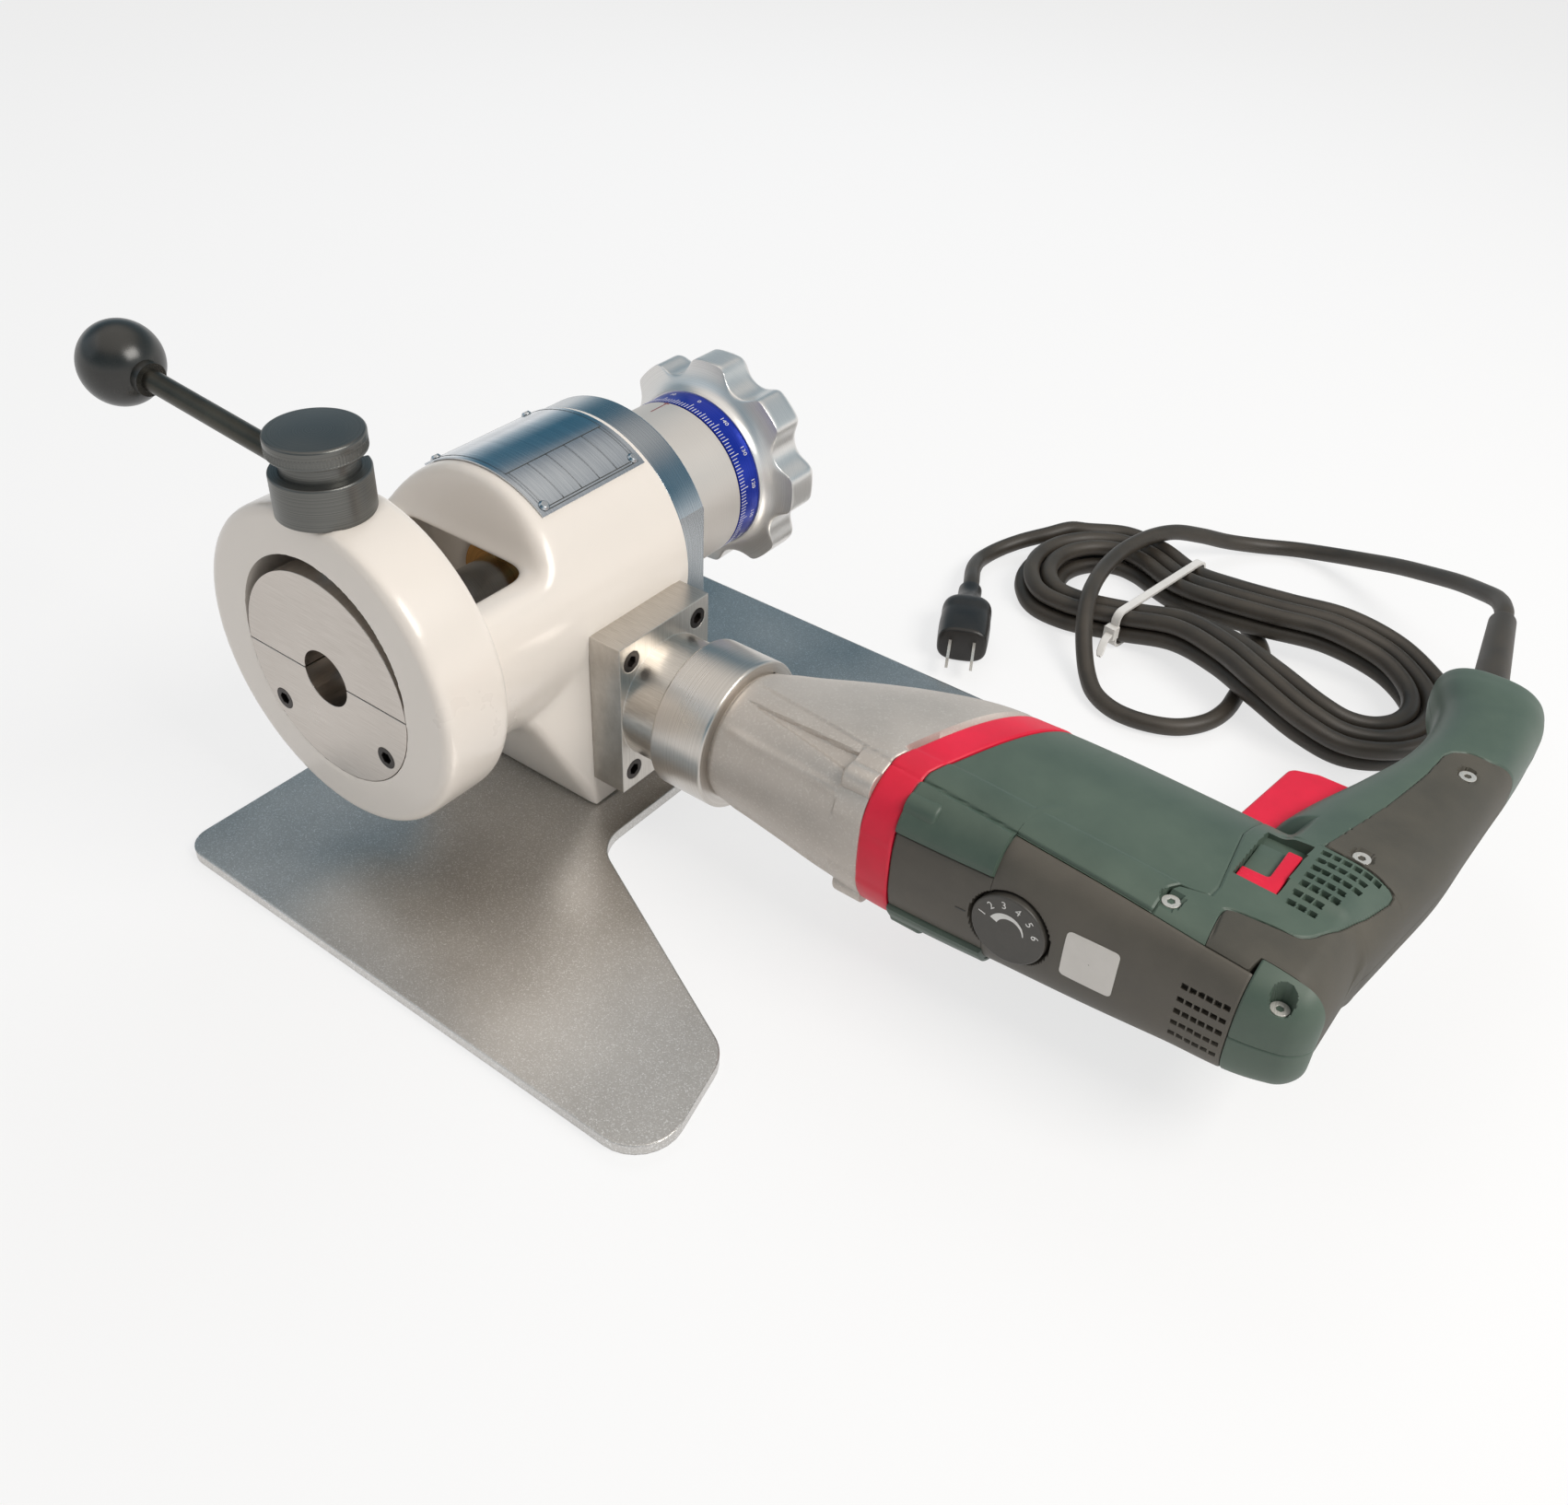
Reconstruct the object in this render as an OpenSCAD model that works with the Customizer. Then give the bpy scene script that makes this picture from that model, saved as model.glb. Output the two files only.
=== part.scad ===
// Tube facing machine: a clamp ring with two half jaws, a worm-driven facing
// spindle with a hand feed, and a corded drill on its side as the drive.
// Millimetres, +Z up. The origin lies on the table, below the tube axis and
// in the plane of the clamp ring's front face; +Y runs back to the feed knob
// and +X out along the drill.

/* [Layout] */
// Height of the tube axis above the table
axis_h = 102; // [100:1:112]
// Drop from the tube axis to the worm axis
worm_drop = 41; // [40:0.5:44]
// Distance from the ring's front face back to the worm axis
drive_y = 122; // [121:1:128]
// Outside diameter of the tube that the jaws hold
bore_d = 25.4; // [12:0.1:38]

/* [Base plate] */
// Thickness of the plate
plate_t = 5; // [4:0.5:8]
// Reach of the plate to the left of the tube axis
plate_left = 66.5; // [62:0.5:80]
// Reach of the plate in front of the ring's face
plate_front = 43; // [36:1:60]
// Depth of the plate from its front edge to its rear edge
plate_depth = 323; // [300:1:360]
// Reach of the two lobes to the right of the tube axis
plate_reach = 208; // [180:1:230]
// Reach of the waist between the lobes
plate_waist = 76; // [70:1:90]
// Length of the lobes' outer edges
lobe_edge = 52; // [44:1:60]
// Countersunk plate screw, shank diameter
base_screw_d = 8; // [6:0.5:9]

/* [Clamp ring and jaws] */
// Outside diameter of the clamp ring
ring_d = 142; // [138:1:150]
// Depth of the clamp ring
ring_depth = 34; // [30:1:40]
// Rounding of the ring's edges
ring_round = 4; // [2:0.5:6]
// Radius of the jaws' outer arc
jaw_r = 47; // [44:0.5:50]
// Thickness of the jaws
jaw_t = 28; // [22:1:28]
// Lift of the upper jaw from closed to open
jaw_travel = 7; // [5:0.5:8]
// Running gap round the moving jaw
jaw_gap = 0.3; // [0.2:0.05:0.5]
// Lower jaw screws, distance from the middle
jaw_screw_x = 31.5; // [28:0.5:34]
// Lower jaw screws, distance below the tube axis
jaw_screw_z = 24.5; // [20:0.5:27]
// Socket screw of the jaws, shank diameter
jaw_screw_d = 6; // [5:0.5:7]

/* [Clamp lever] */
// Outside diameter of the lever bush
bush_d = 38.6; // [36:0.2:42]
// Height of the lever bush
bush_h = 17; // [15:0.5:19]
// Diameter of the turning hub
hub_d = 30; // [28:0.5:31]
// Height of the hub above the bush
hub_rise = 7; // [5:0.5:9]
// Diameter of the knurled cap
cap_d = 38; // [34:0.5:42]
// Height of the knurled cap
cap_h = 8; // [6:0.5:11]
// Diameter of the lever rod
rod_d = 9; // [8:0.5:10]
// Reach of the lever from its axis to the ball's centre
lever_reach = 122; // [100:1:150]
// Upward slope of the lever rod, degrees
lever_slope = 4.7; // [3:0.1:8]
// Diameter of the ball
ball_d = 35; // [30:0.5:40]
// Diameter of the stud that lifts the jaw
stud_d = 14; // [12:0.5:15]

/* [Barrel] */
// Outside radius of the barrel
barrel_r = 58; // [57:0.5:62]
// Front face of the upper barrel
barrel_front = 88; // [84:1:90]
// Rear face of the barrel
barrel_rear = 157.5; // [156:0.5:164]
// Radius of the chip chamber behind the jaws
chamber_r = 44; // [42:0.5:46]
// Rear wall of the chip chamber
chamber_rear = 96; // [95:0.5:97]
// Height of the chip window's side ledges above the tube axis
ledge_rise = 28; // [26:0.5:30]
// Height of the chip window's lip above the tube axis
lip_rise = 31.5; // [30.5:0.5:34]
// Length of the chip window along the ledges
window_len = 42; // [38:1:44]
// Radius of the gear cavity
cavity_r = 46; // [45:0.5:47]
// Reach of the drive pad to the right of the tube axis
pad_x = 57; // [56.5:0.5:60]
// Reach of the pedestal to the left of the tube axis
pedestal_left = 52; // [50:0.5:56]
// Reach of the leaning skirt under the bridge, ahead of the drive pad
skirt_len = 28; // [22:1:32]
// Thickness of the bent name plate
sheet_t = 0.8; // [0.5:0.1:1.2]
// Half angle that the name plate covers, degrees
sheet_half = 37; // [30:1:42]

/* [Feed] */
// Thickness of the steel end ring
end_t = 17; // [15:0.5:19]
// Reach of the flat on the end ring
end_flat = 53; // [51:0.5:56]
// Radius of the feed sleeve
sleeve_r = 39.5; // [37:0.5:42]
// Length of the feed sleeve
sleeve_len = 45; // [44:0.5:48]
// Width of the graduated ring
scale_w = 13.6; // [11:0.2:15]
// Lobe radius of the feed knob
knob_r = 54; // [50:0.5:58]
// Thickness of the feed knob
knob_t = 28; // [24:1:34]
// Number of lobes on the feed knob
knob_lobes = 8; // [6:1:10]
// Feed stroke of the spindle
feed_stroke = 10; // [6:0.5:10]
// Radius of the sliding plunger
plunger_r = 30; // [28:0.5:31]

/* [Spindle and worm drive] */
// Diameter of the spindle
spindle_d = 26; // [24:0.5:28]
// Radius of the cutter head
head_r = 28; // [24:0.5:30]
// Thickness of the cutter head
head_t = 18; // [15:0.5:20]
// Number of wheel teeth
wheel_teeth = 24; // [20:1:26]
// Module of the worm gearing
gear_module = 2.5; // [2.2:0.1:2.5]
// Face width of the worm wheel
wheel_w = 14; // [10:1:16]
// Number of turns on the worm
worm_turns = 4; // [4:2:6]
// Width of each bearing ring
bearing_w = 8.5; // [7:0.5:9]

/* [Drive flange] */
// Width of the flange
flange_w = 59; // [56:0.5:64]
// Height of the flange
flange_h = 77; // [72:0.5:82]
// Thickness of the flange
flange_t = 17.5; // [14:0.5:20]
// Flange screws, spacing across
flange_px = 44; // [40:0.5:46]
// Flange screws, spacing up and down
flange_pz = 58.5; // [52:0.5:62]
// Flange screws, shank diameter
flange_screw_d = 6; // [5:0.5:7]
// Radius of the neck on the flange
neck_r = 29; // [27:0.5:31]
// Length of the neck
neck_len = 20; // [16:0.5:24]
// Radius of the adapter collar
collar_r = 34.4; // [32:0.2:38]
// Length of the adapter collar
collar_len = 27; // [24:0.5:30]

/* [Drill] */
// Length from the collar to the rear end
drill_len = 257; // [240:1:275]
// Distance from the drill axis to the dial cover
drill_top = 33; // [30:0.5:36]
// Distance from the drill axis to the back of the motor
drill_back = 72; // [66:0.5:78]
// Half thickness of the motor housing
drill_side = 35; // [32:0.5:38]
// Width of the trim band
band_w = 15; // [12:0.5:18]
// Length of the handle behind the motor
handle_len = 163; // [155:1:172]
// Half depth of the handle at the grip
handle_depth = 20; // [18:0.5:22]
// Half width of the handle at the grip
handle_width = 20.5; // [19:0.5:22]
// Diameter of the speed dial
dial_d = 31; // [26:0.5:34]
// Travel of the trigger
trigger_travel = 6; // [4:0.5:8]
// Travel of the reversing slider
slider_travel = 8; // [6:0.5:8]

/* [Cord] */
// Diameter of the cord
cord_d = 9; // [8:0.2:9.4]
// Length of the strain relief
relief_len = 74; // [60:1:80]
// Thickness of the tie round the hank
tie_t = 1.6; // [1.2:0.1:2]

/* [Hidden] */
$fn = 64;

// Clearances: turning fits, seats within one body, and gaps between bodies
run_gap = 0.05;
seat_fit = 0.02;
clear = 0.3;
over = 1;

// Heights on the clamp
ring_z = axis_h + jaw_travel / 2;
open_r = jaw_r + jaw_gap;
clamp_y = jaw_t / 2;
seat_z = ring_z + sqrt(pow(ring_d / 2, 2) - pow(bush_d / 2, 2));
bush_floor = 2;
bush_top = seat_z + bush_h;
hub_low = seat_z + bush_floor + run_gap;
hub_top = bush_top + hub_rise;
cap_low = hub_top + run_gap;
lever_z = bush_top - rod_d / 2 - 0.5;
stud_r = stud_d / 2;
stud_grip = 14;
stud_top = hub_low + 5;
stud_bore_top = stud_top + jaw_travel + 0.6;
cap_pin_r = 4;
cap_pin_low = max(stud_bore_top, bush_top) + 1.5;
split_gap = 0.6;

// Stations along the spindle axis, from the ring face to the rear
web_r = head_r + 4;
bearing_front = drive_y - wheel_w / 2 - 1 - bearing_w;
bearing_rear = drive_y + wheel_w / 2 + 1;
spindle_r = spindle_d / 2;
hub_r = spindle_r + 7;
bearing_r = hub_r + 8;
bush_r = spindle_r + 7;
ledge_z = axis_h + ledge_rise;
lip_z = axis_h + lip_rise;
lip_y = ring_depth + window_len + lip_rise - ledge_rise;
end_rear = barrel_rear + end_t;
sleeve_rear = end_rear + sleeve_len;
sleeve_wall = 5.5;
scale_y = sleeve_rear + clear;
knob_y = scale_y + scale_w;
knob_hub_r = 28;
tip_gap = 1.5;
tip_out = 2.5;
head_y = jaw_t + tip_gap + feed_stroke + tip_out;
journal_r = spindle_r - 3;
plunger_y = end_rear - 4;
plunger_len = 33.5;
plunger_web = 7.5;
nut_t = 5.5;
screw_r = 8;
screw_tip = plunger_y + plunger_web + nut_t + 2.5;
thread_y = screw_tip + 2;
screw_collar_y = plunger_y + plunger_len + 2;
shoulder_y = plunger_y - run_gap;
guide_y = plunger_y + 19.5;
guide_r = 2.5;

// Worm gearing
worm_z = axis_h - worm_drop;
wheel_pr = gear_module * wheel_teeth / 2;
worm_pr = worm_drop - wheel_pr;
gear_pitch = gear_module * PI;
tooth_rise = 0.8 * gear_module;
tooth_fall = 1.15 * gear_module;
tooth_t = 0.35 * gear_pitch;
flank = tan(20);
worm_len = worm_turns * gear_pitch;
worm_bore_r = worm_pr + tooth_rise + 1;
shaft_r = 8;
worm_end = pedestal_left - 6;
key_w = 6;
key_low = spindle_r - 3;
key_high = spindle_r + 2;
key_y = drive_y - 10;
key_len = 20;

// Drive flange and adapter
flange_x = pad_x + flange_t;
neck_x = flange_x + neck_len;
drill_x = neck_x + collar_len;
neck_bore_r = 20;
nose_r = 21.5;
nose_len = 21;
coupling_r = 14;
hex_r = 6;
drill_spindle_r = 12;

// Drill body: share of the length, then of the top, back and side, then squareness
drill_z = worm_z;
drill_end = drill_x + drill_len;
body_sides = 28;
body_form = [
    [0.000, 0.88, 0.403, 0.83, 2.0],
    [0.054, 0.88, 0.500, 0.86, 2.1],
    [0.132, 0.91, 0.667, 0.91, 2.3],
    [0.230, 0.97, 0.833, 0.97, 2.5],
    [0.327, 1.00, 0.944, 1.00, 2.7],
    [0.444, 0.98, 0.986, 0.98, 2.8],
    [0.541, 0.94, 1.000, 0.94, 2.9],
    [0.696, 0.90, 1.000, 0.89, 2.9],
    [0.813, 0.86, 1.000, 0.83, 2.9],
    [0.930, 0.82, 1.000, 0.77, 2.9],
    [1.000, 0.67, 0.970, 0.68, 2.9]
];
band_x = drill_end - 178;
band_knee = drive_y - 10;
band_lean = 0.32;
seam_x = drill_end - 54;
cover_cut = 13;
cap_x = drill_end - 26;
lug_r = 6;
lug_top = 22;
lug_side = 27;
dial_x = drill_end - 111;
dial_t = 6;
slider_x = drill_end - 50.5;
slider_y = drive_y + 19;
slider_w = 16;
slider_len = 26;
slider_t = 4;
slider_bar = 5.5;
slider_proud = 1.5;
trigger_x = drill_end - 67;
trigger_depth = 33;
trigger_t = 18;
trigger_y = drive_y + drill_back + 3;
trigger_len = 47;

// Handle: share of the length, offset of its middle from the drill's rear end,
// then share of the depth and of the width
handle_y = drive_y + 28;
handle_end = drive_y + drill_back + handle_len;
handle_sides = 24;
handle_stations = [
    [0.00, -32.5, 1.70, 1.30],
    [0.15, -26.5, 1.60, 1.25],
    [0.31, -20.5, 1.50, 1.14],
    [0.46, -14.5, 1.25, 1.06],
    [0.60, -9.5, 1.05, 1.02],
    [0.72, -7.5, 1.00, 1.00],
    [0.83, -8.5, 1.05, 1.00],
    [0.92, -12.5, 1.20, 0.97],
    [0.97, -15.0, 1.15, 0.88],
    [1.00, -16.5, 0.95, 0.72]
];
handle_square = 2.6;

// Strain relief, from the handle's end along its own slope
relief_r0 = 8.2;
relief_r1 = 6.4;
relief_in = 7;
relief_lean = 11;
relief_foot = [drill_end - 16, handle_end, drill_z];
relief_dir = [-sin(relief_lean), cos(relief_lean), 0];
relief_tip = relief_foot + relief_len * relief_dir;

// Hank: straight runs with round ends, drawn in at the waist, wound in two
// layers that spiral in, climb along a front run and spiral out again
cord_r = cord_d / 2;
end_gap = 0.05;
hank_mid = [226, 405];
hank_turn = -8;
hank_run = 72;
hank_half_w = 52;
hank_step = 9.9;
hank_dip = 20;
hank_waist = -15;
hank_waist_len = 84;
hank_layer = 9.6;
loop_rings = 24;
run_rings = 5;
arc_rings = 7;
hank_rings = 5 * loop_rings + 4;
climb_from = 2 * loop_rings + 9;
climb_to = climb_from + run_rings;
climb_mid = (climb_from + climb_to) / 2;
tie_x = 2 * hank_run / run_rings - hank_run;
tie_w = 4.6;
tie_ramp = 24;
tie_lift = tie_t + 0.4;
lead_lift = cord_d + 1.4;
lead_from = -48;
lead_full = 0;
lead_leave = 43;
lead_to = 105;

// Route of the free lead from the relief to the start of the hank
lead_route = [
    [340, 456, 57],
    [329, 470, 51],
    [315, 485, 43.5],
    [298, 499, 35],
    [280, 512, 26.5],
    [260, 523, 17.5],
    [239, 530, 10],
    [218, 530, 5.5],
    [200, 521, 5],
    [185, 506, 9],
    [174, 489, 16.5],
    [164, 471, 23],
    [157, 453, 25.2],
    [152, 431, 25],
    [152, 410, 25],
    [155, 390, 25.2],
    [160, 372, 24.4],
    [166, 358, 19.5],
    [174, 345, 12.5],
    [184, 332, 6.5],
    [194, 322, 4.7],
    [208.5, 315.5, 4.6],
    [224.5, 316.5, 4.6],
    [239, 323.5, 4.6],
    [248.5, 336.5, 4.6],
    [252, 352, 4.6],
    [250.5, 374, 4.6],
    [250.5, 396, 4.6],
    [247, 411.5, 4.6],
    [238, 424.5, 4.6]
];

// Route of the tail from the hank to the plug
tail_route = [
    [100, 438.5, 11.5],
    [89.5, 427.5, 8],
    [82.5, 414, 5.8],
    [80, 398, 5.4],
    [84, 383, 7.8]
];
plug_foot = [97, 357, 10.6];
plug_turn = -63.4;
plug_len = 56;
plug_form = [
    [0.00, 6.5, 6.5],
    [0.25, 7.6, 7.6],
    [0.36, 12.0, 9.8],
    [0.60, 13.5, 10.4],
    [0.93, 13.5, 10.4],
    [1.00, 12.0, 9.4]
];
blade_gap = 12.7;
blade_w = 6.4;
blade_t = 1.5;
blade_out = 17;
blade_in = 6;

// Vectors and blends
function unit(v) = v / norm(v);
function mix(a, b, t) = a + (b - a) * t;
function span01(a, b, x) = min(1, max(0, (x - a) / (b - a)));
function ease(a, b, x) = let (t = span01(a, b, x)) t * t * (3 - 2 * t);
function spow(v, e) = sign(v) * pow(abs(v), e);

// Polygon corners given as [x, y, radius], with each radius as an arc of n steps
function corner_arc(a, b, c, n) =
    let (
        p = [b.x, b.y],
        u = unit([a.x, a.y] - p),
        v = unit([c.x, c.y] - p),
        half = acos(u * v) / 2,
        mid = p + unit(u + v) * b.z / sin(half),
        from = p + u * b.z / tan(half) - mid,
        to = p + v * b.z / tan(half) - mid,
        start = atan2(from.y, from.x),
        turn = atan2(cross(from, to), from * to)
    )
    [for (i = [0:n]) mid + b.z * [cos(start + turn * i / n), sin(start + turn * i / n)]];
function rounded(p, n = 8) = [
    for (i = [0:len(p) - 1])
        let (b = p[i])
        each b.z > 0
            ? corner_arc(p[(i + len(p) - 1) % len(p)], b, p[(i + 1) % len(p)], n)
            : [[b.x, b.y]]
];

// Skin over n rings of m points each, closed at both ends
function skin(m, n) = [
    for (i = [0:n - 2], j = [0:m - 1])
        let (a = i * m + j, b = i * m + (j + 1) % m)
        each [[a, a + m, b + m], [a, b + m, b]],
    for (j = [1:m - 2])
        each [[0, j, j + 1], [(n - 1) * m, (n - 1) * m + j + 1, (n - 1) * m + j]]
];
module loft(rings) {
    polyhedron([for (r = rings) each r], skin(len(rings[0]), len(rings)));
}

// Round tube along a path, with its end faces square to the end runs
function path_dir(p, i) =
    i == 0 ? unit(p[1] - p[0])
    : i == len(p) - 1 ? unit(p[i] - p[i - 1])
    : unit(unit(p[i + 1] - p[i]) + unit(p[i] - p[i - 1]));
function tube_ring(c, dir, r, sides) =
    let (side = unit(cross([0, 0, 1], dir)), up = cross(dir, side))
    [for (j = [0:sides - 1])
        let (a = 90 + 360 * j / sides)
        c + r * (cos(a) * side + sin(a) * up)];
module tube(path, r, sides) {
    loft([for (i = [0:len(path) - 1]) tube_ring(path[i], path_dir(path, i), r, sides)]);
}

// Hank path: ring number to place, in the hank's own frame
function hank_w(i) =
    i < climb_mid
        ? hank_half_w - hank_step * i / loop_rings
        : hank_half_w - hank_step * (2 * climb_mid - i) / loop_rings;
function hank_pull(x) =
    hank_dip * pow(cos(90 * min(1, abs(x - hank_waist) / hank_waist_len)), 2);
function hank_lift(i, x) =
    let (
        tie = tie_lift * exp(-pow((x - tie_x) / tie_ramp, 2)),
        lead = i < 4 ? 0 : ease(lead_from, lead_full, x) - ease(lead_leave, lead_to, x)
    )
    mix(tie, lead_lift, lead);
function hank_flat(i) =
    let (
        w = hank_w(i),
        k = (i + 3) % loop_rings,
        seg = 2 * hank_run / run_rings,
        arc = 180 / arc_rings,
        left = run_rings + arc_rings
    )
    k <= run_rings ? [hank_run - k * seg, w]
    : k <= left ? [-hank_run, 0] + w * [cos(90 + (k - run_rings) * arc), sin(90 + (k - run_rings) * arc)]
    : k <= left + run_rings ? [-hank_run + (k - left) * seg, -w]
    : [hank_run, 0] + w * [cos((k - left - run_rings) * arc - 90), sin((k - left - run_rings) * arc - 90)];
function hank_point(i) =
    let (
        f = hank_flat(i),
        y = f.y - sign(f.y) * min(abs(f.y), hank_pull(f.x)),
        z = cord_r + hank_lift(i, f.x) + hank_layer * ease(climb_from, climb_to, i)
    )
    [
        hank_mid.x + f.x * cos(hank_turn) - y * sin(hank_turn),
        hank_mid.y + f.x * sin(hank_turn) + y * cos(hank_turn),
        z
    ];
hank_path = [for (i = [0:hank_rings]) hank_point(i)];
hank_out = unit(hank_path[hank_rings] - hank_path[hank_rings - 1]);
hank_in = unit(hank_path[1] - hank_path[0]);
lead_path = concat(
    [relief_tip + end_gap * relief_dir, relief_tip + cord_d * relief_dir],
    lead_route,
    [hank_path[0] - cord_d * hank_in, hank_path[0]]
);
plug_dir = [cos(plug_turn), sin(plug_turn), 0];
tail_path = concat(
    [hank_path[hank_rings], hank_path[hank_rings] + cord_d * hank_out],
    tail_route,
    [plug_foot - cord_d * plug_dir, plug_foot - end_gap * plug_dir]
);

// Least gap between the hank's own turns, taken at four points of each ring step
fine = 4;
hank_fine = [
    for (i = [0:hank_rings - 1], k = [0:fine - 1]) mix(hank_path[i], hank_path[i + 1], k / fine)
];
function least_gap(p, skip) =
    min([for (i = [0:len(p) - 1 - skip], j = [i + skip:len(p) - 1]) norm(p[i] - p[j])]) - cord_d;
function path_len(p) = len(p) < 2 ? 0 : norm(p[1] - p[0]) + path_len([for (i = [1:len(p) - 1]) p[i]]);

// Placing helpers: along the tube axis, along the worm axis, and a plain bored ring
module along_y(y) {
    translate([0, y, axis_h]) rotate([-90, 0, 0]) children();
}
module along_x(x) {
    translate([x, drive_y, worm_z]) rotate([0, 90, 0]) children();
}
module rod_y(y, len, r) {
    along_y(y) cylinder(r = r, h = len);
}
module rod_x(x, len, r) {
    along_x(x) cylinder(r = r, h = len);
}
module bored(r_out, r_in, h) {
    difference() {
        cylinder(r = r_out, h = h);
        translate([0, 0, -over]) cylinder(r = r_in, h = h + 2 * over);
    }
}
// Turned piece: profile corners as [radius, height, rounding]
module turned(profile) {
    rotate_extrude() polygon(rounded(profile, 6));
}
// Socket head screw: head upwards from the origin, shank downwards
module socket_screw(d, shank) {
    difference() {
        union() {
            cylinder(d = 1.6 * d, h = d);
            translate([0, 0, -shank]) cylinder(d = d, h = shank + 0.5);
        }
        translate([0, 0, d / 2]) cylinder(d = 0.95 * d, h = d, $fn = 6);
    }
}
module screw_room(d, shank, up) {
    cylinder(d = 1.6 * d + clear, h = up);
    translate([0, 0, -shank - 0.5]) cylinder(d = d + 2 * seat_fit, h = shank + over);
}

// Base plate and the screws that hold the casting on it
plate_rear = plate_depth - plate_front;
plate_mid = plate_rear - plate_depth / 2;
plate_corner = 12;
lobe_corner = 19;
waist_corner = 20;
waist_half = 44;
lobe_in = 14;
base_screw_x = [-34, 38];
base_screw_y = 18;
base_screw_len = 18;
plate_outline = [
    [-plate_left, -plate_front, plate_corner],
    [plate_reach, -plate_front, lobe_corner],
    [plate_reach - lobe_in, lobe_edge - plate_front + lobe_in / 2, lobe_corner],
    [plate_waist, plate_mid - waist_half, waist_corner],
    [plate_waist, plate_mid + waist_half, waist_corner],
    [plate_reach - lobe_in, plate_rear - lobe_edge - lobe_in / 2, lobe_corner],
    [plate_reach, plate_rear, lobe_corner],
    [-plate_left, plate_rear, plate_corner]
];
module base_screw_places() {
    for (x = base_screw_x, y = [-base_screw_y, base_screw_y]) translate([x, drive_y + y, 0]) children();
}
module base_plate() {
    color("silver") difference() {
        linear_extrude(plate_t) polygon(rounded(plate_outline));
        base_screw_places() {
            translate([0, 0, -over]) cylinder(d = base_screw_d + clear, h = plate_t + 2 * over);
            translate([0, 0, -0.01])
                cylinder(r1 = base_screw_d + clear, r2 = base_screw_d / 2, h = base_screw_d / 2 + clear);
        }
    }
}
module base_screws() {
    color("gray") base_screw_places() difference() {
        union() {
            translate([0, 0, clear]) cylinder(r1 = base_screw_d - clear, r2 = base_screw_d / 2 - clear,
                h = base_screw_d / 2);
            translate([0, 0, clear]) cylinder(d = base_screw_d, h = plate_t + base_screw_len - 1);
        }
        translate([0, 0, -over]) cylinder(d = base_screw_d * 0.6, h = base_screw_d * 0.4 + over, $fn = 6);
    }
}

// Casting: clamp ring, bridge with its chip window, barrel and pedestal
sheet_front = barrel_front + 4;
sheet_rear = barrel_rear - 2.5;
rivet_in = 4;
rivet_r = 1.4;
rivet_head = 2.6;
end_screw_r = barrel_r - 8;
end_screw_d = 5;
end_screw_len = 14;
pad_y = drive_y - flange_w / 2;
skirt_drop = 36;
skirt_top = axis_h - skirt_drop;
skirt_half = sqrt(barrel_r * barrel_r - skirt_drop * skirt_drop) - 0.5;
skirt_edge = 2;
shoulder_drop = 19;
module jaw_pocket() {
    rod_y(-over, jaw_t + over, open_r);
    translate([0, 0, jaw_travel]) rod_y(-over, jaw_t + over, open_r);
    translate([-open_r, -over, axis_h]) cube([2 * open_r, jaw_t + over, jaw_travel]);
}
module jaw_screw_places() {
    for (s = [-1, 1]) translate([s * jaw_screw_x, 0, axis_h - jaw_screw_z]) rotate([90, 0, 0]) children();
}
module end_screw_places() {
    for (a = [45:90:315])
        translate([end_screw_r * cos(a), 0, axis_h + end_screw_r * sin(a)]) rotate([-90, 0, 0]) children();
}
module flange_screw_places() {
    for (y = [-1, 1], z = [-1, 1])
        translate([0, drive_y + y * flange_px / 2, worm_z + z * flange_pz / 2]) rotate([0, 90, 0]) children();
}
module rivet_places() {
    for (s = [-1, 1], y = [sheet_front + rivet_in, sheet_rear - rivet_in])
        translate([0, y, axis_h]) rotate([0, s * (sheet_half - rivet_in), 0]) children();
}
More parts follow.
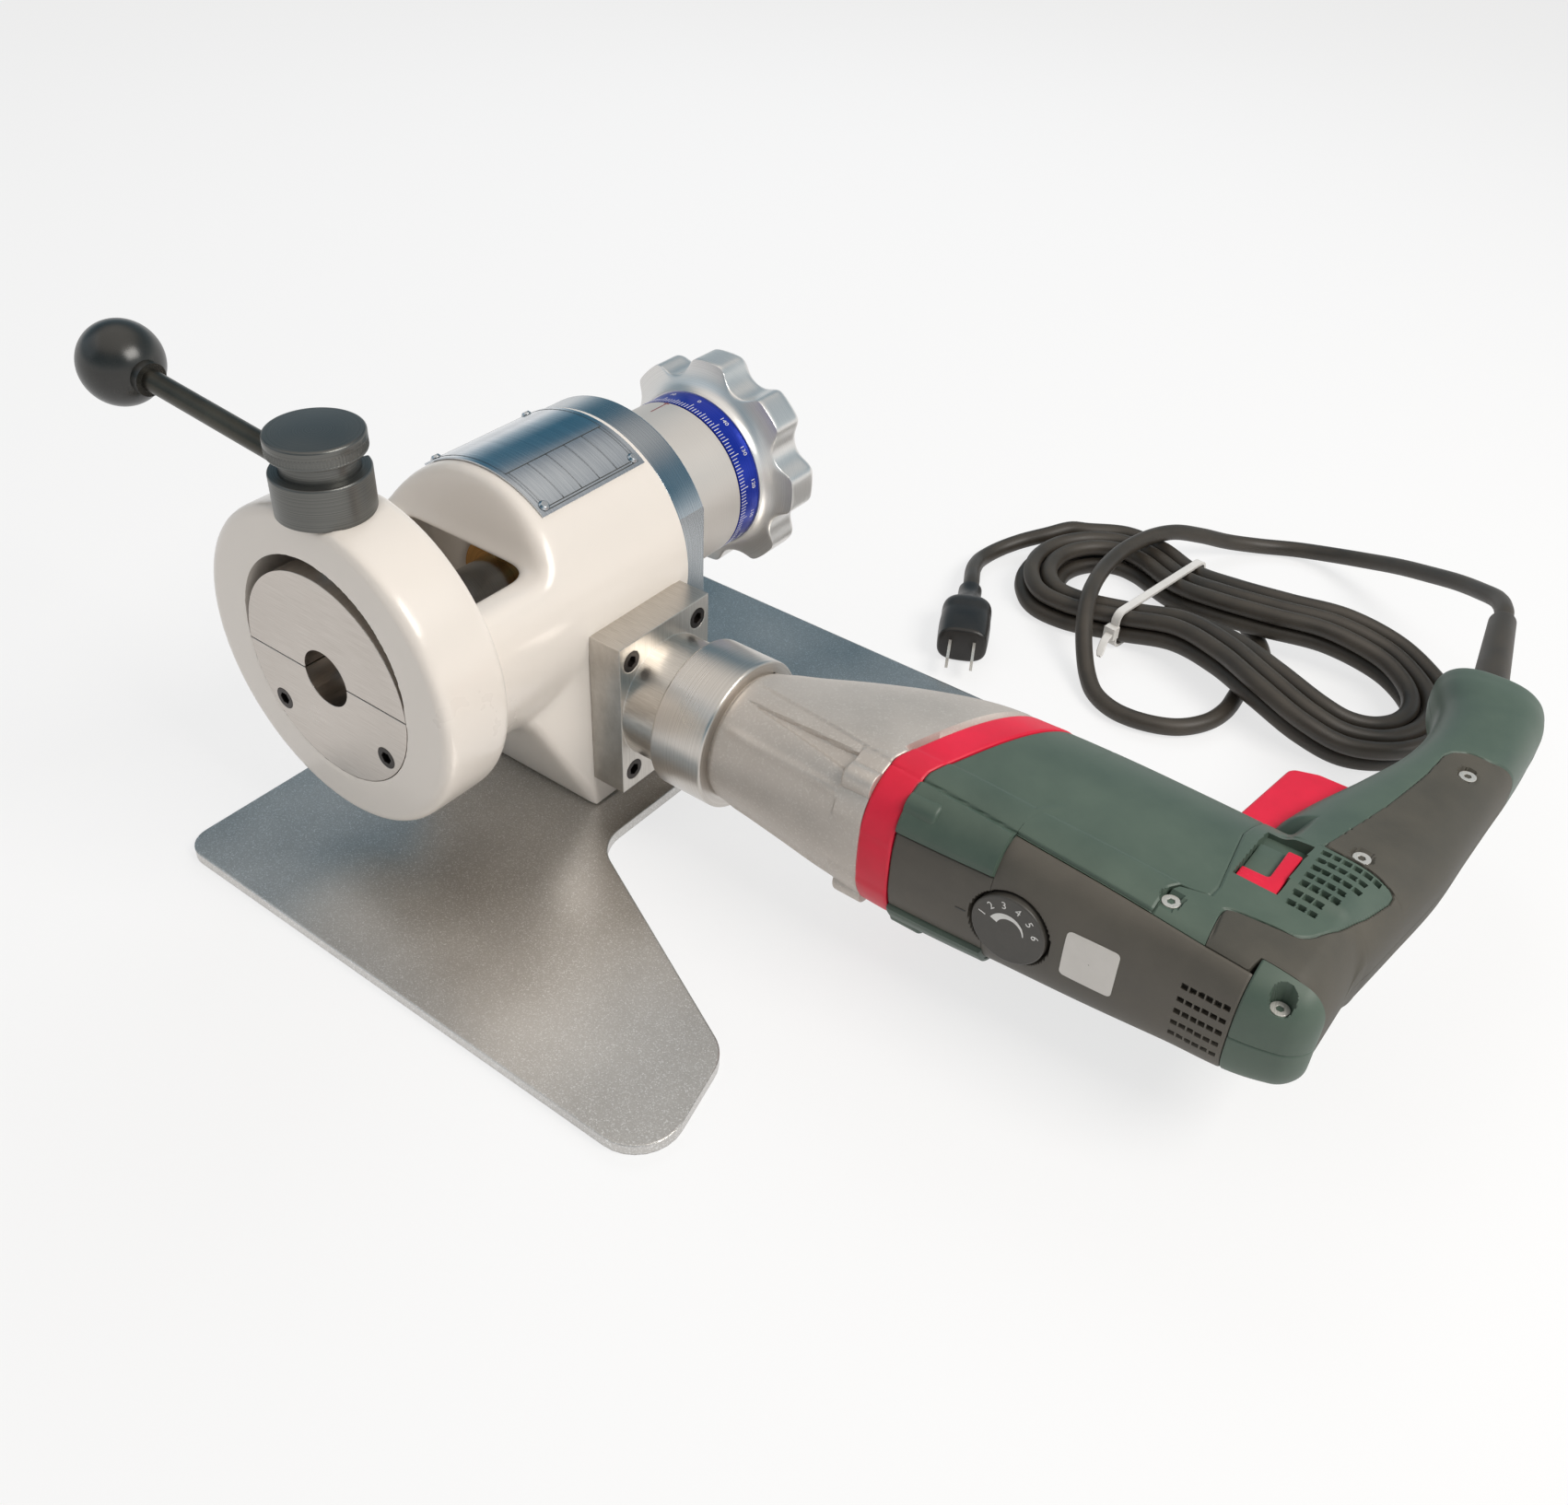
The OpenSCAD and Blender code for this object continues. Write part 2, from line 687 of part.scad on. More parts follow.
module body_casting() {
    color("whitesmoke") difference() {
        union() {
            translate([0, 0, ring_z]) rotate([-90, 0, 0]) turned([
                [0, 0, 0],
                [ring_d / 2, 0, ring_round],
                [ring_d / 2, ring_depth, ring_round],
                [0, ring_depth, 0]
            ]);
            rod_y(ring_depth / 2, barrel_rear - ring_depth / 2, barrel_r);
            translate([-pedestal_left, pad_y, plate_t])
                cube([pedestal_left + pad_x, flange_w, worm_z + flange_h / 2 - plate_t]);
            hull() {
                box_between(
                    [-pedestal_left, pad_y, plate_t],
                    [pad_x, pad_y + over, axis_h - shoulder_drop]
                );
                box_between(
                    [-skirt_half, pad_y - skirt_len, skirt_top - skirt_edge],
                    [skirt_half, pad_y, skirt_top]
                );
            }
        }
        jaw_pocket();
        rod_y(jaw_t - over, ring_depth - jaw_t + 2 * over, web_r);
        intersection() {
            rod_y(ring_depth, chamber_rear - ring_depth, chamber_r);
            translate([-chamber_r - over, 0, 0]) cube([2 * chamber_r + 2 * over, chamber_rear + over, ledge_z]);
        }
        translate([-barrel_r - over, 0, 0]) rotate([90, 0, 90]) linear_extrude(2 * barrel_r + 2 * over)
            polygon([
            [ring_depth, ledge_z],
            [ring_depth + window_len, ledge_z],
            [lip_y, lip_z],
            [barrel_front, axis_h + barrel_r + over],
            [ring_depth, axis_h + barrel_r + over]
        ]);
        rod_y(chamber_rear - over, bearing_front - chamber_rear + 2 * over, bush_r);
        rod_y(bearing_front, bearing_w + over, bearing_r);
        rod_y(bearing_front + bearing_w, barrel_rear - bearing_front, cavity_r);
        rod_x(-worm_end, worm_end + pad_x + over, worm_bore_r);
        translate([0, clamp_y, seat_z]) cylinder(d = bush_d + 2 * clear, h = ring_d);
        translate([0, clamp_y, ring_z]) cylinder(r = stud_r + clear, h = ring_d);
        translate([0, jaw_t, 0]) jaw_screw_places()
            translate([0, 0, -ring_depth]) cylinder(d = jaw_screw_d, h = ring_depth);
        translate([0, barrel_rear, 0]) end_screw_places()
            translate([0, 0, -end_screw_len]) cylinder(d = end_screw_d, h = end_screw_len + over);
        translate([pad_x, 0, 0]) flange_screw_places()
            translate([0, 0, -2 * flange_screw_d])
                cylinder(d = flange_screw_d, h = 2 * flange_screw_d + over);
        box_between(
            [pad_x, pad_y - clear, plate_t],
            [2 * pad_x, pad_y + flange_w + clear, worm_z + flange_h / 2 + clear]
        );
        base_screw_places() cylinder(d = base_screw_d + 2 * seat_fit, h = plate_t + base_screw_len);
        rivet_places() translate([0, 0, barrel_r - 6]) cylinder(r = rivet_r + 0.1, h = 10);
    }
}

// Bent name plate, left bare, and its rivets
module nameplate() {
    color("gainsboro") difference() {
        intersection() {
            along_y(sheet_front) bored(barrel_r + sheet_t, barrel_r + seat_fit, sheet_rear - sheet_front);
            translate([0, sheet_front - over, axis_h]) rotate([-90, 0, 0])
                linear_extrude(sheet_rear - sheet_front + 2 * over) polygon([
                    [0, 0],
                    2 * barrel_r * [-sin(sheet_half), -cos(sheet_half)],
                    2 * barrel_r * [sin(sheet_half), -cos(sheet_half)]
                ]);
        }
        rivet_places() translate([0, 0, barrel_r - over]) cylinder(r = rivet_r + 0.1, h = 10);
    }
}
module nameplate_rivets() {
    color("silver") rivet_places() {
        translate([0, 0, barrel_r - 5]) cylinder(r = rivet_r, h = 5 + sheet_t + 0.5);
        translate([0, 0, barrel_r + sheet_t + 0.15]) cylinder(r1 = rivet_head, r2 = rivet_head - 1, h = 1.3);
    }
}

// Jaws: half discs that hold the tube, the lower one screwed to the ring's web
module half_jaw(up, depth) {
    difference() {
        rod_y(0, depth, jaw_r);
        rod_y(-over, depth + 2 * over, bore_d / 2);
        translate([-jaw_r - over, -over, up ? axis_h - 2 * jaw_r + split_gap / 2 : axis_h - split_gap / 2])
            cube([2 * jaw_r + 2 * over, depth + 2 * over, 2 * jaw_r]);
    }
}
module lower_jaw() {
    color("lightgray") difference() {
        half_jaw(false, jaw_t);
        translate([0, jaw_screw_d, 0]) jaw_screw_places() screw_room(jaw_screw_d, jaw_t, jaw_screw_d + over);
    }
}
module jaw_screws() {
    color("dimgray") translate([0, jaw_screw_d, 0]) jaw_screw_places() socket_screw(jaw_screw_d, jaw_t);
}
module upper_jaw() {
    color("lightgray") difference() {
        half_jaw(true, jaw_t - clear);
        translate([0, clamp_y, axis_h + jaw_r - stud_grip]) cylinder(r = stud_r + seat_fit, h = jaw_r);
    }
}
module jaw_stud() {
    color("silver") translate([0, clamp_y, axis_h + jaw_r - stud_grip])
        cylinder(r = stud_r - run_gap, h = stud_top - axis_h - jaw_r + stud_grip);
}

// Clamp lever: bush on the ring, turning hub with the lever, and the knurled cap
rod_in = 9.5;
rod_gap = 0.1;
ball_bore = 12;
ball_neck = 2.5;
ball_reach = lever_reach / cos(lever_slope);
ball_end = ball_reach - ball_d / 2 + ball_bore;
slot_margin = 20;
module clamp_bush() {
    slot_z = lever_z + (hub_d / 2) * tan(lever_slope) - rod_d / 2 / cos(lever_slope) - 2 * clear;
    color("dimgray") difference() {
        translate([0, clamp_y, seat_z]) turned([
            [0, 0, 0],
            [bush_d / 2, 0, 0],
            [bush_d / 2, bush_h, 1],
            [0, bush_h, 0]
        ]);
        translate([0, clamp_y, seat_z + bush_floor]) cylinder(r = hub_d / 2 + run_gap, h = bush_h);
        translate([0, clamp_y, seat_z - over]) cylinder(r = stud_r + clear, h = bush_h);
        translate([0, clamp_y, slot_z]) linear_extrude(bush_h) polygon(concat(
            [[0, 0]],
            [for (a = [90 - slot_margin:13:180 + slot_margin]) bush_d * [cos(a), sin(a)]]
        ));
    }
}
module along_lever(from) {
    translate([0, clamp_y, lever_z]) rotate([0, lever_slope - 90, 0]) translate([0, 0, from]) children();
}
module lever_line(from, len, r) {
    along_lever(from) cylinder(r = r, h = len);
}
module clamp_hub() {
    color("dimgray") difference() {
        translate([0, clamp_y, hub_low]) cylinder(d = hub_d, h = hub_top - hub_low);
        translate([0, clamp_y, hub_low - over]) cylinder(r = stud_r, h = stud_bore_top - hub_low + over);
        translate([0, clamp_y, cap_pin_low]) cylinder(r = cap_pin_r + run_gap, h = hub_top);
        lever_line(rod_in, hub_d, rod_d / 2 + seat_fit);
    }
}
module lever_rod() {
    color("dimgray") lever_line(rod_in + rod_gap, ball_end - rod_in - 2 * rod_gap, rod_d / 2);
}
module ball_knob() {
    color("#222222") difference() {
        union() {
            along_lever(ball_reach) sphere(d = ball_d);
            lever_line(ball_reach - ball_d / 2 - ball_neck, ball_d / 2, rod_d / 2 + ball_neck);
        }
        lever_line(ball_reach - ball_d, ball_end - ball_reach + ball_d, rod_d / 2 + seat_fit);
    }
}
module clamp_cap() {
    color("dimgray") translate([0, clamp_y, 0]) {
        translate([0, 0, cap_low]) turned([
            [0, 0, 0],
            [cap_d / 2, 0, 1],
            [cap_d / 2, cap_h, 1.2],
            [0, cap_h, 0]
        ]);
        translate([0, 0, cap_pin_low + clear]) cylinder(r = cap_pin_r, h = cap_low - cap_pin_low);
    }
}

// Steel end ring with the spigot that closes the gear cavity
spigot_web = 10;
end_round = 1;
module end_ring() {
    color("silver") difference() {
        intersection() {
            union() {
                rod_y(bearing_rear, barrel_rear - bearing_rear + over, cavity_r - run_gap);
                along_y(barrel_rear) turned([
                    [0, 0, 0],
                    [barrel_r, 0, 0],
                    [barrel_r, end_t, end_round],
                    [0, end_t, 0]
                ]);
            }
            translate([-2 * barrel_r, 0, 0]) cube([2 * barrel_r + end_flat, 2 * end_rear, 3 * axis_h]);
        }
        rod_y(bearing_rear - over, bearing_w + over, bearing_r);
        rod_y(bearing_rear, barrel_rear, spindle_r + over);
        rod_y(bearing_rear + bearing_w + spigot_web, end_rear, plunger_r + run_gap);
        rod_x(-worm_end, worm_end + pad_x, worm_bore_r);
        translate([0, end_rear - end_screw_d, 0]) end_screw_places()
            screw_room(end_screw_d, end_t + end_screw_len, end_screw_d + over);
    }
}
module end_ring_screws() {
    color("dimgray") translate([0, end_rear - end_screw_d, 0]) end_screw_places()
        socket_screw(end_screw_d, end_t - end_screw_d + end_screw_len - 1);
}

// Feed: sleeve with the plunger inside, and the knob with its screw and scale
module guide_place() {
    translate([0, guide_y, axis_h]) rotate([0, -90, 0]) children();
}
module feed_sleeve() {
    color("lightgray") difference() {
        along_y(end_rear) turned([
            [0, 0, 0],
            [sleeve_r, 0, 0],
            [sleeve_r, sleeve_len, 1],
            [0, sleeve_len, 0]
        ]);
        rod_y(end_rear - over, sleeve_len - sleeve_wall + over, plunger_r + run_gap);
        rod_y(end_rear, sleeve_len + over, journal_r + run_gap);
        guide_place() translate([0, 0, plunger_r - over]) cylinder(r = guide_r + seat_fit, h = sleeve_r);
    }
}
module guide_pin() {
    color("gray") guide_place() translate([0, 0, plunger_r - 4])
        cylinder(r = guide_r, h = sleeve_r - plunger_r + 3);
}
module feed_plunger() {
    slot_y = guide_y - guide_r - clear;
    color("gray") difference() {
        rod_y(plunger_y, plunger_len, plunger_r);
        rod_y(plunger_y - over, plunger_web + 2 * over, journal_r + run_gap);
        rod_y(plunger_y + plunger_web, thread_y - plunger_y - plunger_web, spindle_r + 4);
        rod_y(thread_y - over, plunger_len, screw_r + run_gap);
        translate([-plunger_r - over, slot_y, axis_h - guide_r - clear])
            cube([6 + over, plunger_y + plunger_len - slot_y + over, 2 * guide_r + 2 * clear]);
    }
}
module scale_ring() {
    color("mediumblue") along_y(scale_y) bored(sleeve_r, knob_hub_r + seat_fit, scale_w);
}
knob_bore_len = 17;
knob_valley_r = 13;
knob_valley_out = 5;
module feed_knob() {
    color("silver") difference() {
        union() {
            rod_y(scale_y, scale_w + over, knob_hub_r);
            difference() {
                along_y(knob_y) turned([
                    [0, 0, 0],
                    [knob_r, 0, 3],
                    [knob_r, knob_t, 5],
                    [0, knob_t, 0]
                ]);
                for (k = [0:knob_lobes - 1]) rotate_y_axis(360 * (k + 0.5) / knob_lobes)
                    translate([knob_r + knob_valley_out, knob_y - over, axis_h]) rotate([-90, 0, 0])
                        cylinder(r = knob_valley_r, h = knob_t + 2 * over);
            }
        }
        rod_y(scale_y - over, scale_w + knob_bore_len + over, journal_r + seat_fit);
        rod_y(knob_y + knob_t - 4, 4 + over, knob_hub_r);
    }
}
module rotate_y_axis(a) {
    translate([0, 0, axis_h]) rotate([0, a, 0]) translate([0, 0, -axis_h]) children();
}
module feed_screw() {
    color("gray") union() {
        rod_y(screw_tip, screw_collar_y - screw_tip + over, screw_r);
        rod_y(screw_collar_y, sleeve_rear - sleeve_wall - 0.5 - screw_collar_y, journal_r + 6);
        rod_y(screw_collar_y, knob_y + knob_bore_len - screw_collar_y - 0.5, journal_r);
    }
}

// Spindle with its cutter head, held in the plunger by a nut
insert_x = 4;
insert_w = 12;
insert_deep = 7.5;
insert_t = 4;
gullet_h = 14;
insert_screw_r = 2;
spindle_y = head_y + insert_deep + 1.5;
module spindle() {
    color("silver") difference() {
        union() {
            rod_y(spindle_y, shoulder_y - spindle_y, spindle_r);
            rod_y(spindle_y, plunger_y + plunger_web + nut_t - spindle_y, journal_r);
        }
        translate([-key_w / 2 - run_gap, key_y - 0.5, axis_h + key_low - run_gap])
            cube([key_w + 2 * run_gap, key_len + feed_stroke + 1, spindle_r]);
    }
}
module spindle_nut() {
    color("gray") difference() {
        along_y(plunger_y + plunger_web + 0.1) cylinder(r = spindle_r + 2, h = nut_t - 0.1, $fn = 6);
        rod_y(plunger_y, plunger_len, journal_r + seat_fit);
    }
}
module cutter_head() {
    color("gray") difference() {
        along_y(head_y) turned([
            [0, 0, 0],
            [head_r, 0, 1.5],
            [head_r, head_t, 1],
            [0, head_t, 0]
        ]);
        rod_y(spindle_y, head_t, spindle_r + seat_fit);
        translate([insert_x - 1, head_y - over, axis_h]) cube([head_r, insert_deep + 0.5 + over, gullet_h]);
        translate([insert_x + insert_w / 2, head_y + insert_deep / 2, axis_h - 6])
            cylinder(r = insert_screw_r + seat_fit, h = gullet_h);
    }
}
module cutting_insert() {
    color("goldenrod") difference() {
        translate([insert_x, head_y - tip_out, axis_h]) cube([insert_w, insert_deep + tip_out, insert_t]);
        translate([insert_x + insert_w / 2, head_y + insert_deep / 2, axis_h - over])
            cylinder(r = insert_screw_r + 0.2, h = insert_t + 2 * over);
    }
}
module insert_screw() {
    color("dimgray") translate([insert_x + insert_w / 2, head_y + insert_deep / 2, axis_h - 5.5]) {
        cylinder(r = insert_screw_r, h = insert_t + 6);
        translate([0, 0, insert_t + 5.5]) cylinder(r = insert_screw_r + 1.3, h = 1.4);
    }
}
module front_bush() {
    color("peru") along_y(chamber_rear)
        bored(bush_r - seat_fit, spindle_r + run_gap, bearing_front - chamber_rear - clear);
}

// Worm wheel, its key and bearings
function wheel_tooth(k) =
    let (a = 90 + 360 * k / wheel_teeth)
    [for (side = [-1, 1], end = side < 0 ? [0, 1] : [1, 0])
        let (
            r = end == 0 ? wheel_pr - tooth_fall : wheel_pr + tooth_rise,
            half = tooth_t / 2 + (wheel_pr - r) * flank
        )
        [r * cos(a) - side * half * sin(a), r * sin(a) + side * half * cos(a)]];
module worm_wheel() {
    color("goldenrod") difference() {
        union() {
            along_y(drive_y - wheel_w / 2) linear_extrude(wheel_w)
                polygon([for (k = [0:wheel_teeth - 1]) each wheel_tooth(k)]);
            rod_y(bearing_front + 0.1, bearing_rear + bearing_w - bearing_front - 0.2, hub_r);
        }
        rod_y(bearing_front - over, bearing_rear + bearing_w - bearing_front + 2 * over, spindle_r + run_gap);
        translate([-key_w / 2 - seat_fit, key_y, axis_h])
            cube([key_w + 2 * seat_fit, key_len, key_high + seat_fit]);
    }
}
module drive_key() {
    color("gray") translate([-key_w / 2, key_y + 0.1, axis_h + key_low])
        cube([key_w, key_len - 0.2, key_high - key_low]);
}
module wheel_bearings() {
    color("lightsteelblue") for (y = [bearing_front, bearing_rear])
        along_y(y) bored(bearing_r - seat_fit, hub_r + run_gap, bearing_w);
}

// Worm shaft with its coupling socket, and its bearings
worm_facets = 12;
coupling_x = flange_x + 1.5;
coupling_len = 22;
socket_len = 14;
function thread_half(r) = (tooth_t / 2 + (worm_pr - r) * flank) * 360 / gear_pitch;
thread_tip = worm_pr + tooth_rise;
thread_root = worm_pr - tooth_fall;
thread_form = concat(
    [for (a = [-1:1:1]) thread_tip * [cos(a * thread_half(thread_tip)), sin(a * thread_half(thread_tip))]],
    [for (t = [0.5:0.5:1])
        let (r = mix(thread_tip, thread_root, t), a = thread_half(r))
        r * [cos(a), sin(a)]],
    [for (t = [0.25:0.25:0.75])
        let (a = mix(thread_half(thread_root), 360 - thread_half(thread_root), t))
        thread_root * [cos(a), sin(a)]],
    [for (t = [1:-0.5:0.5])
        let (r = mix(thread_tip, thread_root, t), a = -thread_half(r))
        r * [cos(a), sin(a)]]
);
module worm_shaft() {
    color("gray") difference() {
        union() {
            along_x(-worm_len / 2) linear_extrude(worm_len, twist = -360 * worm_turns,
                slices = worm_facets * worm_turns, $fn = worm_facets) polygon(thread_form);
            rod_x(-worm_end + 1, worm_end - 1 - worm_len / 2 + 0.2, shaft_r);
            rod_x(worm_len / 2 - 0.2, coupling_x - worm_len / 2 + over, shaft_r);
            rod_x(coupling_x, coupling_len, coupling_r);
        }
        along_x(coupling_x + coupling_len - socket_len)
            cylinder(r = hex_r + 0.1, h = socket_len + over, $fn = 6);
    }
}
module worm_bearings() {
    color("lightsteelblue") for (x = [1.5 - worm_end, pad_x - 2 - bearing_w])
        along_x(x) bored(worm_bore_r - seat_fit, shaft_r + run_gap, bearing_w);
}

// Drive flange with its neck, and the collar that takes the drill's nose
collar_hole_d = 3;
module drive_flange() {
    color("lightgray") difference() {
        union() {
            translate([pad_x, pad_y, worm_z - flange_h / 2]) cube([flange_t, flange_w, flange_h]);
            along_x(flange_x - over) turned([
                [0, 0, 0],
                [neck_r, 0, 0],
                [neck_r, neck_len + over, 1],
                [0, neck_len + over, 0]
            ]);
        }
        rod_x(pad_x - over, flange_t + neck_len, shaft_r + over);
        rod_x(flange_x, neck_len + over, neck_bore_r);
        translate([flange_x - flange_screw_d, 0, 0]) flange_screw_places()
            screw_room(flange_screw_d, flange_t, flange_screw_d + over);
    }
}
module flange_screws() {
    color("dimgray") translate([flange_x - flange_screw_d, 0, 0]) flange_screw_places()
        socket_screw(flange_screw_d, flange_t - flange_screw_d + 2 * flange_screw_d - 1);
}
module adapter_collar() {
    color("lightgray") difference() {
        along_x(neck_x) turned([
            [0, 0, 0],
            [collar_r, 0, 1.2],
            [collar_r, collar_len, 1.2],
            [0, collar_len, 0]
        ]);
        rod_x(neck_x - over, collar_len + 2 * over, nose_r + seat_fit);
        for (a = [35, 145]) along_x(drill_x - 6) rotate([0, 0, a]) translate([(collar_r + nose_r) / 2, 0, 0])
            cylinder(d = collar_hole_d, h = 6 + over);
    }
}

// Drill body as one lofted form, cut into its housings
function body_at(i) = [for (f = body_form) [f[0], f[i]]];
function body_size(x, i) = lookup((x - drill_x) / drill_len, body_at(i));
function body_ring(f) = [
    for (j = [0:body_sides - 1])
        let (a = 360 * j / body_sides, c = spow(cos(a), 2 / f[4]), s = spow(sin(a), 2 / f[4]))
        [
            drill_x + f[0] * drill_len,
            drive_y + (c > 0 ? f[2] * drill_back : f[1] * drill_top) * c,
            drill_z + f[3] * drill_side * s
        ]
];
module drill_form() {
    loft([for (f = body_form) body_ring(f)]);
}
drill_room = 3 * drill_back;
module plan_prism(points) {
    translate([0, 0, drill_z - drill_room / 2]) linear_extrude(drill_room) polygon(points);
}
function band_edge(x) = [
    [x, drive_y - drill_room],
    [x, band_knee],
    [x + band_lean * (drill_room + drive_y - band_knee), drive_y + drill_room]
];
module before_band() {
    plan_prism(concat(
        [[drill_x - over, drive_y + drill_room], [drill_x - over, drive_y - drill_room]],
        band_edge(band_x)
    ));
}
module after_band() {
    e = band_edge(band_x + band_w);
    plan_prism(concat(
        e,
        [[drill_end + drill_room, drive_y + drill_room], [drill_end + drill_room, drive_y - drill_room]]
    ));
}
module in_band() {
    e = band_edge(band_x + band_w);
    plan_prism(concat(band_edge(band_x), [e[2], e[1], e[0]]));
}
module box_between(a, b) {
    translate(a) cube(b - a);
}
module cover_room() {
    low = [0, drive_y - drill_room, 0];
    box_between(
        [band_x + band_w, low.y, drill_z - tab_in],
        [cap_x, drive_y - cover_cut, drill_z + tab_in]
    );
    box_between(
        [tab_x, low.y, drill_z - drill_side - over],
        [cap_x, drive_y - cover_cut, drill_z + drill_side + over]
    );
}
tab_in = 15;
tab_x = drill_end - 121;
module lugs(from, len) {
    for (s = [-1, 1]) translate([from, drive_y - lug_top, drill_z + s * lug_side]) rotate([0, 90, 0])
        cylinder(r = lug_r, h = len);
}
lug_len = 14;
module gear_housing() {
    color("silver") difference() {
        union() {
            intersection() {
                drill_form();
                before_band();
            }
            rod_x(drill_x - nose_len, nose_len + 5, nose_r);
            lugs(band_x - lug_len, lug_len);
        }
        rod_x(drill_x - nose_len - over, nose_len + 30, drill_spindle_r + run_gap);
    }
}
module drill_spindle() {
    color("gray") union() {
        rod_x(drill_x - nose_len, nose_len + 28, drill_spindle_r);
        along_x(coupling_x + coupling_len - socket_len + 1)
            cylinder(r = hex_r, h = drill_x - nose_len - coupling_x - coupling_len + socket_len, $fn = 6);
    }
}
module trim_band() {
    color("crimson") intersection() {
        drill_form();
        in_band();
    }
}
module motor_housing() {
    color("darkslategray") difference() {
        union() {
            intersection() {
                drill_form();
                after_band();
                box_between([drill_x, drive_y - drill_room, 0], [seam_x, drive_y + drill_room, 2 * drill_z]);
            }
            lugs(band_x + band_w, lug_len);
        }
        cover_room();
        case_screw_room();
    }
}

// Dial cover with its vents, the speed dial, and the rear cap
dial_y = drive_y - body_size(dial_x, 1) * drill_top;
dial_proud = 1;
vent_rows = 5;
vent_pitch = 6;
vent_x = cap_x - 20;
module dial_cover() {
    color("#4a4740") difference() {
        intersection() {
            drill_form();
            cover_room();
        }
        translate([dial_x, dial_y + dial_t, drill_z]) rotate([90, 0, 0])
            cylinder(d = dial_d + 2 * clear, h = 4 * dial_t);
        for (i = [0:vent_rows - 1]) box_between(
            [vent_x, drive_y - drill_top, drill_z + (i - (vent_rows - 1) / 2) * vent_pitch - 1.5],
            [cap_x - 4, drive_y - drill_top + 10, drill_z + (i - (vent_rows - 1) / 2) * vent_pitch + 1.5]
        );
    }
}
module speed_dial() {
    color("#3a3a38") translate([dial_x, dial_y + dial_t - clear, drill_z]) rotate([90, 0, 0]) turned([
        [0, 0, 0],
        [dial_d / 2, 0, 0],
        [dial_d / 2, dial_t - clear + dial_proud, 0.8],
        [0, dial_t - clear + dial_proud, 0]
    ]);
}
module rear_cap() {
    color("darkslategray") difference() {
        intersection() {
            drill_form();
            box_between(
                [cap_x, drive_y - drill_room, 0],
                [drill_end + over, drive_y - cover_cut, 2 * drill_z]
            );
        }
        case_screw_room();
    }
}

// Handle: a loft in two shells, with grip panels let into its rear side
function handle_ring(f) = [
    for (j = [0:handle_sides - 1])
        let (
            a = 360 * j / handle_sides,
            c = spow(cos(a), 2 / handle_square),
            s = spow(sin(a), 2 / handle_square)
        )
        [
            drill_end + f[1] + f[2] * handle_depth * s,
            mix(handle_y, handle_end, f[0]),
            drill_z + f[3] * handle_width * c
        ]
];
module handle_form() {
    loft([for (f = handle_stations) handle_ring(f)]);
}
// Front edge of the grip panels: offset from the drill's rear end, then from the drill axis
grip_edge = [
    [60, -cover_cut],
    [-44, -cover_cut],
    [-45.5, -2],
    [-41, 1],
    [-21, 3.5],
    [-16, 8.5],
    [-10.5, 19],
    [-6, 34],
    [-2.2, 50.6],
    [-3.7, 55.7],
    [-31, 58.1],
    [-21, 101.7],
    [-16, 132],
    [-14.7, 150.6],
    [-6.5, 158.6],
    [1.3, 159.7],
    [60, 210]
];
module grip_room() {
    plan_prism([for (p = grip_edge) [drill_end + p.x, drive_y + p.y]]);
}
module half_room(up) {
    translate([0, 0, up ? drill_z : drill_z - drill_room]) translate([drill_x, 0, 0])
        cube([2 * drill_len, 2 * handle_end, drill_room]);
}
function bulge(d, half, n) = pow(max(0, 1 - pow(min(1, abs(d) / half), n)), 1 / n);
function body_z(x, y) =
    let (half = y > drive_y ? body_size(x, 2) * drill_back : body_size(x, 1) * drill_top)
    drill_z + body_size(x, 3) * drill_side * bulge(y - drive_y, half, body_size(x, 4));
function handle_size(y, i) =
    lookup((y - handle_y) / (handle_end - handle_y), [for (f = handle_stations) [f[0], f[i]]]);
function handle_z(x, y) =
    drill_z + handle_size(y, 3) * handle_width
        * bulge(x - drill_end - handle_size(y, 1), handle_size(y, 2) * handle_depth, handle_square);
slider_z = body_z(slider_x + slider_w / 2, slider_y + slider_len);
module slider_room() {
    box_between(
        [slider_x - clear, slider_y - clear, slider_z - slider_t],
        [
            slider_x + slider_w + clear,
            slider_y + slider_len + slider_travel + 2 * clear,
            slider_z + drill_side
        ]
    );
}
module trigger_room() {
    box_between(
        [trigger_x, trigger_y - clear, drill_z - trigger_t / 2 - clear],
        [trigger_x + trigger_depth + trigger_travel + 2 * clear, trigger_y + trigger_len + clear,
            drill_z + trigger_t / 2 + clear]
    );
}
module relief_line(from, len, r0, r1) {
    translate(relief_foot) rotate([0, 0, relief_lean]) rotate([-90, 0, 0]) translate([0, 0, from])
        cylinder(r1 = r0, r2 = r1, h = len);
}
module rear_form() {
    intersection() {
        drill_form();
        box_between([seam_x, drive_y - cover_cut, 0], [drill_end + over, drive_y + drill_room, 2 * drill_z]);
    }
    handle_form();
}
module handle_shell(up) {
    difference() {
        intersection() {
            rear_form();
            half_room(up);
        }
        grip_room();
        cover_room();
        trigger_room();
        box_between(
            [drill_x, drive_y - drill_room, 0],
            [seam_x, drive_y + drill_back + clear, 2 * drill_z]
        );
        relief_line(-relief_in - clear, relief_len, relief_r0 + run_gap, relief_r0 + run_gap);
    }
}
module handle_upper() {
    color("darkslategray") difference() {
        handle_shell(true);
        slider_room();
    }
}
module handle_lower() {
    color("darkslategray") handle_shell(false);
}
module grip(up) {
    intersection() {
        rear_form();
        grip_room();
        half_room(up);
    }
}
module grip_upper() {
    color("#45433e") difference() {
        grip(true);
        case_screw_room();
        trigger_room();
    }
}
module grip_lower() {
    color("#45433e") difference() {
        grip(false);
        trigger_room();
    }
}

